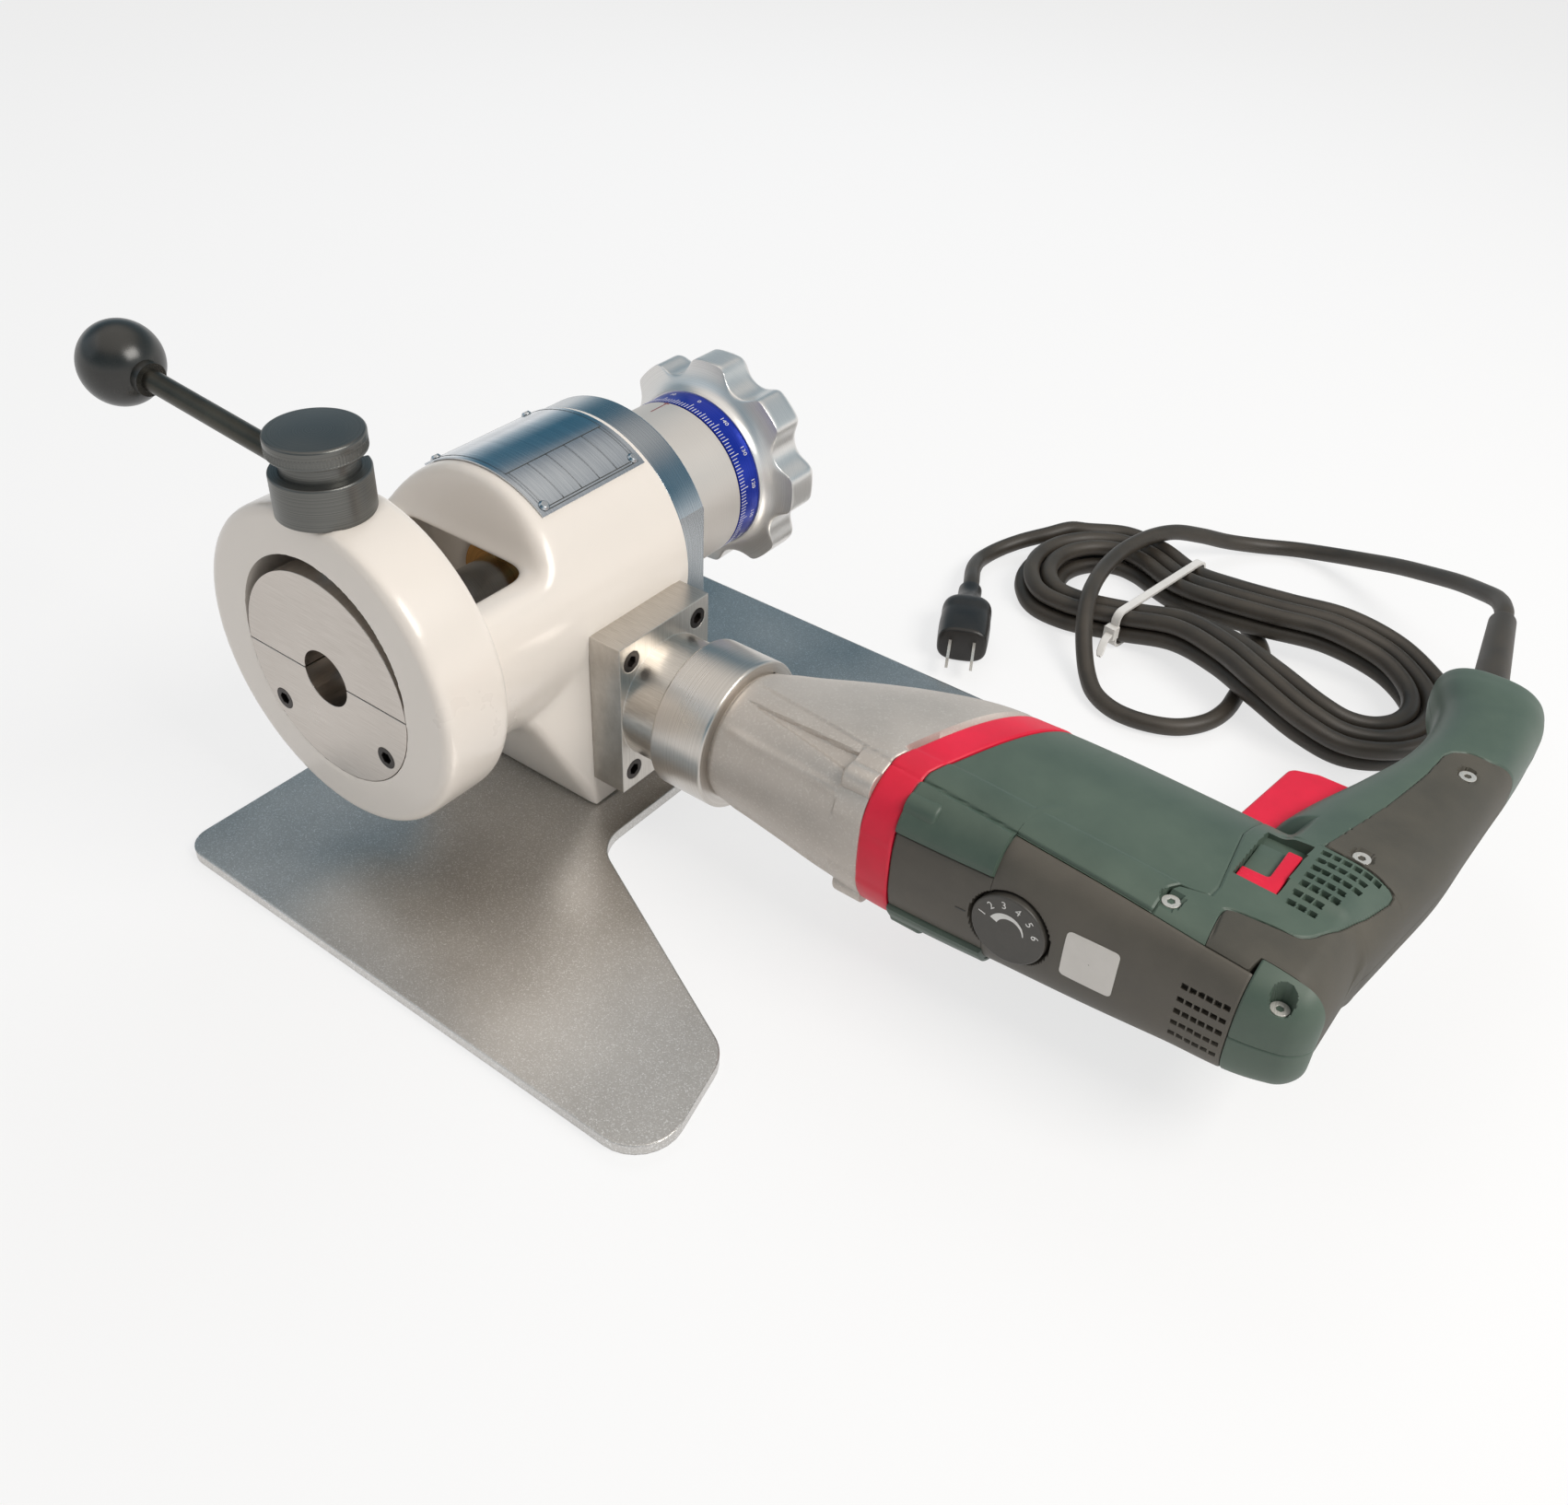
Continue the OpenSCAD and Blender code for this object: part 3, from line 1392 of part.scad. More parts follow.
// Case screws, sunk below the skin they sit in
case_screw_r = 3.4;
case_screw_len = 8;
case_screw_sunk = 0.6;
housing_screw = [drill_end - 62, drive_y - 9];
cap_screw = [drill_end - 14, drive_y - 20];
grip_screws = [[drill_end - 18, handle_y + 34], [drill_end - 3, handle_y + 116]];
case_screws = concat(
    [for (p = [housing_screw, cap_screw]) [p.x, p.y, body_z(p.x, p.y - case_screw_r)]],
    [for (p = grip_screws) [p.x, p.y, handle_z(p.x, p.y)]]
);
module case_screw_room() {
    for (p = case_screws) translate([p.x, p.y, p.z - case_screw_len])
        cylinder(r = case_screw_r + run_gap, h = 3 * case_screw_len);
}
module housing_screws() {
    color("silver") for (p = case_screws) translate([p.x, p.y, p.z - case_screw_len]) difference() {
        cylinder(r = case_screw_r, h = case_screw_len - case_screw_sunk);
        translate([0, 0, case_screw_len - 2.5]) cylinder(r = 1.6, h = 4, $fn = 6);
    }
}

// Trigger and reversing slider
module trigger() {
    front = trigger_x - 2;
    top = trigger_y + trigger_len;
    color("crimson") translate([0, 0, drill_z - trigger_t / 2]) linear_extrude(trigger_t) polygon(rounded([
        [front, trigger_y, 2],
        [front + 5, top - 4, 4],
        [front + 16, top, 5],
        [trigger_x + trigger_depth, top, 0],
        [trigger_x + trigger_depth, trigger_y, 0]
    ]));
}
module reverse_slider() {
    low = slider_z - slider_t + clear;
    color("crimson") {
        box_between([slider_x, slider_y, low], [slider_x + slider_w, slider_y + slider_len, slider_z - 0.5]);
        box_between(
            [slider_x + slider_w - slider_bar, slider_y, low],
            [slider_x + slider_w, slider_y + slider_len, slider_z + slider_proud]
        );
        box_between(
            [slider_x, slider_y, low],
            [slider_x + slider_w, slider_y + slider_bar, slider_z + slider_proud]
        );
    }
}

// Strain relief: a plain sleeve that tapers to the cord
relief_plain = 8;
module strain_relief() {
    color("#26241f") translate(relief_foot) rotate([0, 0, relief_lean]) rotate([-90, 0, 0]) rotate_extrude()
        polygon([
            [0, -relief_in],
            [relief_r0, -relief_in],
            [relief_r0, relief_plain],
            [relief_r1, relief_len],
            [0, relief_len]
        ]);
}

// Cord: lead, hank and tail
module cord_lead() {
    color("#2b2824") tube(lead_path, cord_r, 8);
}
module cord_hank() {
    echo(str("Least gap between the turns of the hank: ", least_gap(hank_fine, 3 * fine), " mm"));
    color("#2b2824") tube(hank_path, cord_r, 6);
}
module cord_tail() {
    color("#2b2824") tube(tail_path, cord_r, 8);
}

// Plug with two flat blades
plug_sides = 16;
function plug_ring(f) = [
    for (j = [0:plug_sides - 1])
        let (
            a = 360 * j / plug_sides,
            n = f[0] < 0.3 ? 2 : 3,
            side = cross([0, 0, 1], plug_dir)
        )
        plug_foot + f[0] * plug_len * plug_dir
            + f[1] * spow(cos(a), 2 / n) * side
            + [0, 0, f[2] * spow(sin(a), 2 / n)]
];
module blades(extra) {
    for (s = [-1, 1]) translate(plug_foot) rotate([0, 0, plug_turn])
        translate([plug_len - blade_in - extra, (s * blade_gap - blade_t) / 2 - extra, -blade_w / 2 - extra])
            cube([blade_in + blade_out + extra, blade_t + 2 * extra, blade_w + 2 * extra]);
}
module plug() {
    color("#1c1b1a") difference() {
        loft([for (f = plug_form) plug_ring(f)]);
        blades(seat_fit);
    }
}
module plug_blades() {
    color("silver") blades(0);
}

// Tie round the hank's waist, with its buckle
tie_margin = 1;
tie_round = 4;
tie_front = -hank_w(10) + hank_pull(tie_x) - cord_r - tie_margin;
tie_rear = hank_w(hank_rings - 3) - hank_pull(tie_x) + cord_r + tie_margin;
tie_low = 0.2;
tie_high = tie_lift + 2 * cord_r + hank_layer + 0.6;
function tie_loop(out) = rounded([
    [tie_front - out, tie_low + tie_t - out, tie_round + out],
    [tie_rear + out, tie_low + tie_t - out, tie_round + out],
    [tie_rear + out, tie_high + out, tie_round + out],
    [tie_front - out, tie_high + out, tie_round + out]
]);
buckle = [6.5, 5, 7];
buckle_z = 8;
module cable_tie() {
    color("white") translate([hank_mid.x, hank_mid.y, 0]) rotate([0, 0, hank_turn]) {
        translate([tie_x - tie_w / 2, 0, 0]) rotate([90, 0, 90]) difference() {
            linear_extrude(tie_w) polygon(tie_loop(tie_t));
            translate([0, 0, -over]) linear_extrude(tie_w + 2 * over) polygon(tie_loop(0));
        }
        translate([tie_x - buckle.x / 2, tie_front - tie_t / 2 - buckle.y, buckle_z]) cube(buckle);
    }
}

base_plate();
base_screws();
body_casting();
nameplate();
nameplate_rivets();
lower_jaw();
jaw_screws();
upper_jaw();
jaw_stud();
clamp_bush();
clamp_hub();
lever_rod();
ball_knob();
clamp_cap();
end_ring();
end_ring_screws();
feed_sleeve();
guide_pin();
scale_ring();
feed_knob();
feed_screw();
feed_plunger();
spindle();
spindle_nut();
cutter_head();
cutting_insert();
insert_screw();
front_bush();
worm_wheel();
drive_key();
wheel_bearings();
worm_shaft();
worm_bearings();
drive_flange();
flange_screws();
adapter_collar();
gear_housing();
drill_spindle();
trim_band();
motor_housing();
dial_cover();
rear_cap();
handle_upper();
handle_lower();
grip_upper();
grip_lower();
housing_screws();
trigger();
reverse_slider();
speed_dial();
strain_relief();
cord_lead();
cord_hank();
cord_tail();
plug();
plug_blades();
cable_tie();
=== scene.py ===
import math
import bmesh
import bpy
import numpy as np
from mathutils import Matrix, Vector


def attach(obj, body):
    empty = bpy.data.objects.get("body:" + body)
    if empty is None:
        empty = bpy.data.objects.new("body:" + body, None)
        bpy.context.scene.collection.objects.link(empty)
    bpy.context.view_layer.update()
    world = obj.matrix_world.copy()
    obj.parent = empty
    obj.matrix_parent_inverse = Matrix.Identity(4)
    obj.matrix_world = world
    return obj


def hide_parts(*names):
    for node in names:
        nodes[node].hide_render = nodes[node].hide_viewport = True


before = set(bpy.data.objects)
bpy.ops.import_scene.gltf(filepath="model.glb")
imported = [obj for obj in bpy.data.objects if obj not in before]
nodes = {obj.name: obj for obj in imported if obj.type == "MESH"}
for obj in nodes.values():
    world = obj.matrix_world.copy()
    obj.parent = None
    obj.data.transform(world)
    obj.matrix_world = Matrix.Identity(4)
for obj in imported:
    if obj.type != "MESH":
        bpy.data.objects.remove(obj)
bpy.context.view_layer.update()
mm = 0.001
barrelAxis = 102.0  # height of the spindle's axis in mm
print("frame loaded,", len(nodes), "nodes")


# quads of a rows x cols grid of points, in reading order
def gridQuads(rows, cols, wrapRows=False, wrapCols=False):
    i, j = np.meshgrid(np.arange(rows if wrapRows else rows - 1),
                       np.arange(cols if wrapCols else cols - 1), indexing="ij")
    i2, j2 = (i + 1) % rows, (j + 1) % cols
    return np.stack([i * cols + j, i * cols + j2, i2 * cols + j2, i2 * cols + j], -1).reshape(-1, 4)


# closed wall between an outer and an inner grid of the same shape: both skins, and strips along the open edges
def wallFaces(rows, cols, wrapCols=False):
    n = rows * cols
    outer = gridQuads(rows, cols, False, wrapCols)
    index = np.arange(n).reshape(rows, cols)
    loops = [index[0], index[-1][::-1]] if wrapCols else [
        np.concatenate([index[0], index[1:, -1], index[-1, -2::-1], index[-2:0:-1, 0]])]
    strips = []
    for loop in loops:
        a, b = loop, np.roll(loop, -1)
        strips.append(np.stack([b, a, a + n, b + n], -1))
    return np.concatenate([outer, outer[:, ::-1] + n] + strips)


def shellPart(outer, inner, wrapCols=False):
    return np.concatenate([outer.reshape(-1, 3), inner.reshape(-1, 3)]), wallFaces(*outer.shape[:2], wrapCols)


# faces of a stack of rings, closed at both ends
def stackFaces(rows, n):
    ends = [list(range(n))[::-1], [(rows - 1) * n + k for k in range(n)]]
    return gridQuads(rows, n, False, True).tolist() + ends


# one mesh object from several (points in mm, faces) parts, merged, turned outwards and smoothed below an angle
def addPiece(name, parts, finish, body, angle):
    points, faces, base = [], [], 0
    for p, f in parts:
        p = np.asarray(p, float).reshape(-1, 3)
        points.append(p)
        faces += [[int(i) + base for i in face] for face in f]
        base += len(p)
    mesh = bpy.data.meshes.new(name)
    mesh.from_pydata((np.concatenate(points) * mm).tolist(), [], faces)
    bm = bmesh.new()
    bm.from_mesh(mesh)
    bmesh.ops.remove_doubles(bm, verts=bm.verts, dist=2e-6)
    bmesh.ops.dissolve_degenerate(bm, edges=bm.edges, dist=1e-7)
    bmesh.ops.recalc_face_normals(bm, faces=bm.faces)
    bm.to_mesh(mesh)
    bm.free()
    mesh.polygons.foreach_set("use_smooth", np.ones(len(mesh.polygons), bool))
    mesh.set_sharp_from_angle(angle=math.radians(angle))
    mesh.materials.append(finish)
    obj = bpy.data.objects.new(name, mesh)
    bpy.context.scene.collection.objects.link(obj)
    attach(obj, body)
    return obj


# surface of revolution about a line: profile rows of (radius, distance along the axis)
def turnedPart(profile, centre, axis, sides):
    profile = np.asarray(profile, float)
    axis = np.asarray(axis, float) / np.linalg.norm(axis)
    side = np.cross(axis, [0.0, 0.0, 1.0] if abs(axis[2]) < 0.9 else [1.0, 0.0, 0.0])
    side /= np.linalg.norm(side)
    other = np.cross(axis, side)
    t = np.linspace(0, 2 * np.pi, sides, endpoint=False)
    ring = np.cos(t)[:, None] * side + np.sin(t)[:, None] * other
    pts = np.asarray(centre) + profile[:, None, 1:2] * axis + profile[:, None, 0:1] * ring[None]
    return pts.reshape(-1, 3), gridQuads(len(profile), sides, False, True).tolist()


# rounds the corners of a profile: corner rows of (radius, height, rounding)
def roundedProfile(corners, steps=6):
    corners = np.asarray(corners, float)
    out = []
    for k in range(len(corners)):
        p, r = corners[k, :2], corners[k, 2]
        if r <= 0 or k in (0, len(corners) - 1):
            out.append(p[None])
            continue
        u = corners[k - 1, :2] - p
        v = corners[k + 1, :2] - p
        u, v = u / np.linalg.norm(u), v / np.linalg.norm(v)
        half = math.acos(np.clip(u @ v, -1, 1)) / 2
        mid = p + (u + v) / np.linalg.norm(u + v) * r / math.sin(half)
        a, b = p + u * r / math.tan(half) - mid, p + v * r / math.tan(half) - mid
        start, turn = math.atan2(a[1], a[0]), math.atan2(a[0] * b[1] - a[1] * b[0], a @ b)
        t = start + turn * np.linspace(0, 1, steps + 1)
        out.append(mid + r * np.stack([np.cos(t), np.sin(t)], -1))
    return np.concatenate(out)


# cubic through the rows of a table, column by column, with slopes from neighbouring rows
def smoothTable(table, x):
    table = np.asarray(table, float)
    xs, ys = table[:, 0], table[:, 1:]
    slope = np.gradient(ys, xs, axis=0)
    x = np.clip(np.asarray(x, float), xs[0], xs[-1])
    k = np.clip(np.searchsorted(xs, x, side="right") - 1, 0, len(xs) - 2)
    h = xs[k + 1] - xs[k]
    t = ((x - xs[k]) / h)[..., None]
    h = h[..., None]
    return ((2 * t**3 - 3 * t**2 + 1) * ys[k] + (t**3 - 2 * t**2 + t) * h * slope[k]
            + (3 * t**2 - 2 * t**3) * ys[k + 1] + (t**3 - t**2) * h * slope[k + 1])


def smoothStep(a, b, x):
    t = np.clip((np.asarray(x, float) - a) / (b - a), 0, 1)
    return t * t * (3 - 2 * t)


# spline through points (centripetal), resampled to even steps
def smoothPath(points, step):
    p = np.asarray(points, float)
    p = np.concatenate([[2 * p[0] - p[1]], p, [2 * p[-1] - p[-2]]])
    t = np.concatenate([[0], np.cumsum(np.linalg.norm(np.diff(p, axis=0), axis=1) ** 0.5)])
    u = np.linspace(0, 1, 24, endpoint=False)
    k = np.arange(1, len(p) - 2)
    t0, t1, t2, t3 = (t[k + d][:, None, None] for d in (-1, 0, 1, 2))
    p0, p1, p2, p3 = (p[k + d][:, None, :] for d in (-1, 0, 1, 2))
    s = t1 + (t2 - t1) * u[None, :, None]
    a1 = (t1 - s) / (t1 - t0) * p0 + (s - t0) / (t1 - t0) * p1
    a2 = (t2 - s) / (t2 - t1) * p1 + (s - t1) / (t2 - t1) * p2
    a3 = (t3 - s) / (t3 - t2) * p2 + (s - t2) / (t3 - t2) * p3
    b1 = (t2 - s) / (t2 - t0) * a1 + (s - t0) / (t2 - t0) * a2
    b2 = (t3 - s) / (t3 - t1) * a2 + (s - t1) / (t3 - t1) * a3
    c = ((t2 - s) / (t2 - t1) * b1 + (s - t1) / (t2 - t1) * b2).reshape(-1, 3)
    c = np.concatenate([c, [p[-2]]])
    run = np.concatenate([[0], np.cumsum(np.linalg.norm(np.diff(c, axis=0), axis=1))])
    even = np.linspace(0, run[-1], max(2, int(round(run[-1] / step)) + 1))
    return np.stack([np.interp(even, run, c[:, i]) for i in range(3)], -1)


# tube along a path; frames carry the first side vector along without twist
def tubePart(path, radius, sides):
    path = np.asarray(path, float)
    n = len(path)
    tan = np.gradient(path, axis=0)
    tan /= np.linalg.norm(tan, axis=1)[:, None]
    side = np.cross(tan[0], [0, 0, 1.0])
    side /= np.linalg.norm(side)
    sideRows = np.empty_like(path)
    for i in range(n):
        side = side - (side @ tan[i]) * tan[i]
        side /= np.linalg.norm(side)
        sideRows[i] = side
    other = np.cross(tan, sideRows)
    t = np.linspace(0, 2 * np.pi, sides, endpoint=False)
    ring = np.cos(t)[:, None] * sideRows[:, None] + np.sin(t)[:, None] * other[:, None]
    pts = path[:, None] + radius * ring
    faces = gridQuads(n, sides, False, True).tolist()
    faces += [list(range(sides)), [(n - 1) * sides + k for k in range(sides)][::-1]]
    return pts.reshape(-1, 3), faces


# camera from the photograph: bearing, height angle, roll, place and focal length in pixels
cameraView = {"azimuth": 36.93, "elevation": 38.46, "roll": 1.81, "place": (424.01, -285.17, 455.23),
              "focal": 1619.66, "centre": (805.28, 815.42), "image": (1702, 1634), "sensor": 36.0}


def makeCamera(v):
    az, el, roll = (math.radians(v[k]) for k in ("azimuth", "elevation", "roll"))
    forward = Vector((-math.sin(az) * math.cos(el), math.cos(az) * math.cos(el), -math.sin(el)))
    right = Vector((math.cos(az), math.sin(az), 0))
    up = right.cross(forward)
    r2 = math.cos(roll) * right + math.sin(roll) * up
    u2 = -math.sin(roll) * right + math.cos(roll) * up
    data = bpy.data.cameras.new("photoCamera")
    data.sensor_fit = "HORIZONTAL"
    data.sensor_width = v["sensor"]
    data.lens = v["focal"] / v["image"][0] * v["sensor"]
    data.shift_x = (v["image"][0] / 2 - v["centre"][0]) / v["image"][0]
    data.shift_y = (v["centre"][1] - v["image"][1] / 2) / v["image"][0]
    data.clip_start = 0.01
    data.clip_end = 50
    cam = bpy.data.objects.new("photoCamera", data)
    turn = Matrix((r2, u2, -forward)).transposed().to_4x4()
    cam.matrix_world = Matrix.Translation(Vector(v["place"]) * mm) @ turn
    bpy.context.scene.collection.objects.link(cam)
    bpy.context.scene.camera = cam


makeCamera(cameraView)
print("camera set")

# studio: pale floor, soft key from the right, weak fill, white surround
studio = {"worldLight": 0.40, "key": 16.0, "keyPlace": (1.15, 0.25, 1.15), "fill": 1.6,
          "fillPlace": (-0.9, -0.7, 1.0), "back": 5.0, "backPlace": (-0.5, 1.2, 1.1), "aim": (0.12, 0.12, 0.07),
          "floorSize": 8.0, "floorLevel": -0.0002, "floorGlow": 0.72}


# 1 where the camera sees a thing itself, in a mirror or through glass
def seenRay(tree):
    put, link = tree.nodes.new, tree.links.new
    path, anyRay, anyRay2 = put("ShaderNodeLightPath"), put("ShaderNodeMath"), put("ShaderNodeMath")
    anyRay.operation = anyRay2.operation = "MAXIMUM"
    link(path.outputs["Is Camera Ray"], anyRay.inputs[0])
    link(path.outputs["Is Glossy Ray"], anyRay.inputs[1])
    link(anyRay.outputs[0], anyRay2.inputs[0])
    link(path.outputs["Is Transmission Ray"], anyRay2.inputs[1])
    return anyRay2.outputs[0]


def makeStudio(v):
    scene = bpy.context.scene
    scene.view_settings.view_transform = "Standard"
    world = bpy.data.worlds.new("studioWorld")
    scene.world = world
    world.use_nodes = True
    tree = world.node_tree
    tree.nodes.clear()
    put = tree.nodes.new
    out, mix = put("ShaderNodeOutputWorld"), put("ShaderNodeMixShader")
    soft, seen = put("ShaderNodeBackground"), put("ShaderNodeBackground")
    soft.inputs["Color"].default_value = (1.0, 0.985, 0.965, 1)
    soft.inputs["Strength"].default_value = v["worldLight"]
    seen.inputs["Strength"].default_value = 1.0
    coord, split, ramp = put("ShaderNodeTexCoord"), put("ShaderNodeSeparateXYZ"), put("ShaderNodeValToRGB")
    stops = [(0.0, (1, 1, 1, 1)), (0.52, (1, 1, 1, 1)), (0.60, (0.42, 0.52, 0.58, 1)), (0.70, (0.06, 0.17, 0.25, 1)),
             (0.80, (0.08, 0.19, 0.27, 1)), (0.85, (0.36, 0.38, 0.40, 1)), (0.91, (0.90, 0.87, 0.83, 1)),
             (1.0, (1, 0.97, 0.93, 1))]
    while len(ramp.color_ramp.elements) < len(stops):
        ramp.color_ramp.elements.new(0.5)
    for e, (p, c) in zip(ramp.color_ramp.elements, stops):
        e.position, e.color = p, c
    half = put("ShaderNodeMath")
    half.operation = "MULTIPLY_ADD"
    half.inputs[1].default_value = half.inputs[2].default_value = 0.5
    link = tree.links.new
    link(coord.outputs["Generated"], split.inputs[0])
    link(split.outputs["Z"], half.inputs[0])
    link(half.outputs[0], ramp.inputs[0])
    link(ramp.outputs[0], seen.inputs["Color"])
    link(seenRay(tree), mix.inputs[0])
    link(soft.outputs[0], mix.inputs[1])
    link(seen.outputs[0], mix.inputs[2])
    link(mix.outputs[0], out.inputs[0])
    for name, size, colour in (("key", 0.9, (1, 0.96, 0.91)), ("fill", 1.2, (0.93, 0.96, 1)),
                               ("back", 0.9, (0.86, 0.93, 1))):
        lamp = bpy.data.lights.new(name + "Lamp", "AREA")
        lamp.shape, lamp.size, lamp.size_y = "RECTANGLE", size, size * 0.7
        lamp.energy, lamp.color = v[name], colour
        obj = bpy.data.objects.new(name + "Lamp", lamp)
        obj.location = v[name + "Place"]
        obj.rotation_euler = (Vector(v["aim"]) - Vector(v[name + "Place"])).to_track_quat("-Z", "Y").to_euler()
        obj.visible_glossy = name != "back"
        scene.collection.objects.link(obj)
    mesh = bpy.data.meshes.new("floor")
    s, z = v["floorSize"] / 2, v["floorLevel"]
    mesh.from_pydata([(-s, -s, z), (s, -s, z), (s, s, z), (-s, s, z)], [], [(0, 1, 2, 3)])
    floor = bpy.data.objects.new("floor", mesh)
    scene.collection.objects.link(floor)
    mat = bpy.data.materials.new("paleFloor")
    mat.use_nodes = True
    t = mat.node_tree
    t.nodes.clear()
    put, link = t.nodes.new, t.links.new
    out, mix = put("ShaderNodeOutputMaterial"), put("ShaderNodeMixShader")
    diffuse, glow, share = put("ShaderNodeBsdfDiffuse"), put("ShaderNodeEmission"), put("ShaderNodeMath")
    diffuse.inputs["Color"].default_value = (0.86, 0.86, 0.86, 1)
    glow.inputs["Color"].default_value = (1, 1, 1, 1)
    share.operation = "MULTIPLY"
    share.inputs[1].default_value = v["floorGlow"]
    link(seenRay(t), share.inputs[0])
    link(share.outputs[0], mix.inputs[0])
    link(diffuse.outputs[0], mix.inputs[1])
    link(glow.outputs[0], mix.inputs[2])
    link(mix.outputs[0], out.inputs[0])
    mesh.materials.append(mat)


makeStudio(studio)
print("studio set")


def srgb(r, g, b):
    c = np.array([r, g, b], float) / 255
    return tuple(np.where(c <= 0.04045, c / 12.92, ((c + 0.055) / 1.055) ** 2.4).tolist()) + (1.0,)


# shader groups shared by the finishes
def newGroup(name, inputs, outputs):
    g = bpy.data.node_groups.new(name, "ShaderNodeTree")
    for label, kind, value in inputs:
        s = g.interface.new_socket(name=label, in_out="INPUT", socket_type=kind)
        s.default_value = value
    for label in outputs:
        g.interface.new_socket(name=label, in_out="OUTPUT", socket_type="NodeSocketFloat")
    return g, g.nodes.new("NodeGroupInput"), g.nodes.new("NodeGroupOutput")


def chain(tree, kind, sockets={}, **values):
    n = tree.nodes.new(kind)
    for key, value in values.items():
        setattr(n, key, value)
    for key, value in sockets.items():
        n.inputs[key].default_value = value
    return n


# grain: broad mottling, a fine height, and sparse bright specks, all on Object coordinates
def grainGroup():
    g, gin, gout = newGroup("surfaceGrain", [("Broad", "NodeSocketFloat", 20.0), ("Fine", "NodeSocketFloat", 900.0),
                                             ("Speck", "NodeSocketFloat", 1500.0)], ["Mottle", "Height", "Specks"])
    coord = chain(g, "ShaderNodeTexCoord")
    link = g.links.new
    broad = chain(g, "ShaderNodeTexNoise", {"Detail": 5.0, "Roughness": 0.6})
    fine = chain(g, "ShaderNodeTexNoise", {"Detail": 3.0})
    cells = chain(g, "ShaderNodeTexVoronoi", feature="F1")
    split = chain(g, "ShaderNodeSeparateColor")
    power = chain(g, "ShaderNodeMath", {1: 6.0}, operation="POWER")
    for node, socket in ((broad, "Broad"), (fine, "Fine"), (cells, "Speck")):
        link(coord.outputs["Object"], node.inputs["Vector"])
        link(gin.outputs[socket], node.inputs["Scale"])
    link(cells.outputs["Color"], split.inputs[0])
    link(split.outputs[0], power.inputs[0])
    link(broad.outputs[0], gout.inputs["Mottle"])
    link(fine.outputs[0], gout.inputs["Height"])
    link(power.outputs[0], gout.inputs["Specks"])
    return g


# straight brush marks: noise squeezed across the marks, given by how fast it varies along X, Y and Z
def brushGroup():
    g, gin, gout = newGroup("brushMarks", [("Rate", "NodeSocketVector", (1.0, 1.0, 1.0))], ["Marks", "Cloud"])
    coord, scale = chain(g, "ShaderNodeTexCoord"), chain(g, "ShaderNodeVectorMath", operation="MULTIPLY")
    noise = chain(g, "ShaderNodeTexNoise", {"Scale": 1.0, "Detail": 6.0, "Roughness": 0.7})
    cloud = chain(g, "ShaderNodeTexNoise", {"Scale": 18.0})
    link = g.links.new
    link(coord.outputs["Object"], scale.inputs[0])
    link(gin.outputs["Rate"], scale.inputs[1])
    link(scale.outputs[0], noise.inputs["Vector"])
    link(coord.outputs["Object"], cloud.inputs["Vector"])
    link(noise.outputs[0], gout.inputs["Marks"])
    link(cloud.outputs[0], gout.inputs["Cloud"])
    return g


# lathe marks: one-dimensional noise on the distance along an axis plus the distance from it
def latheGroup():
    g, gin, gout = newGroup("latheMarks", [("Centre", "NodeSocketVector", (0.0, 0.0, 0.0)),
                                           ("Axis", "NodeSocketVector", (0.0, 1.0, 0.0)),
                                           ("Rate", "NodeSocketFloat", 2500.0)], ["Marks", "Cloud"])
    link = g.links.new
    coord = chain(g, "ShaderNodeTexCoord")
    away = chain(g, "ShaderNodeVectorMath", operation="SUBTRACT")
    along = chain(g, "ShaderNodeVectorMath", operation="DOT_PRODUCT")
    part = chain(g, "ShaderNodeVectorMath", operation="SCALE")
    rest = chain(g, "ShaderNodeVectorMath", operation="SUBTRACT")
    size = chain(g, "ShaderNodeVectorMath", operation="LENGTH")
    both, rate = chain(g, "ShaderNodeMath", operation="ADD"), chain(g, "ShaderNodeMath", operation="MULTIPLY")
    noise = chain(g, "ShaderNodeTexNoise", {"Scale": 1.0, "Detail": 4.0, "Roughness": 0.65}, noise_dimensions="1D")
    cloud = chain(g, "ShaderNodeTexNoise", {"Scale": 25.0})
    link(coord.outputs["Object"], away.inputs[0])
    link(gin.outputs["Centre"], away.inputs[1])
    link(away.outputs[0], along.inputs[0])
    link(gin.outputs["Axis"], along.inputs[1])
    link(gin.outputs["Axis"], part.inputs[0])
    link(along.outputs["Value"], part.inputs["Scale"])
    link(away.outputs[0], rest.inputs[0])
    link(part.outputs[0], rest.inputs[1])
    link(rest.outputs[0], size.inputs[0])
    link(size.outputs["Value"], both.inputs[0])
    link(along.outputs["Value"], both.inputs[1])
    link(both.outputs[0], rate.inputs[0])
    link(gin.outputs["Rate"], rate.inputs[1])
    link(rate.outputs[0], noise.inputs["W"])
    link(coord.outputs["Object"], cloud.inputs["Vector"])
    link(noise.outputs[0], gout.inputs["Marks"])
    link(cloud.outputs[0], gout.inputs["Cloud"])
    return g


groups = {"grain": grainGroup(), "brush": brushGroup(), "lathe": latheGroup()}


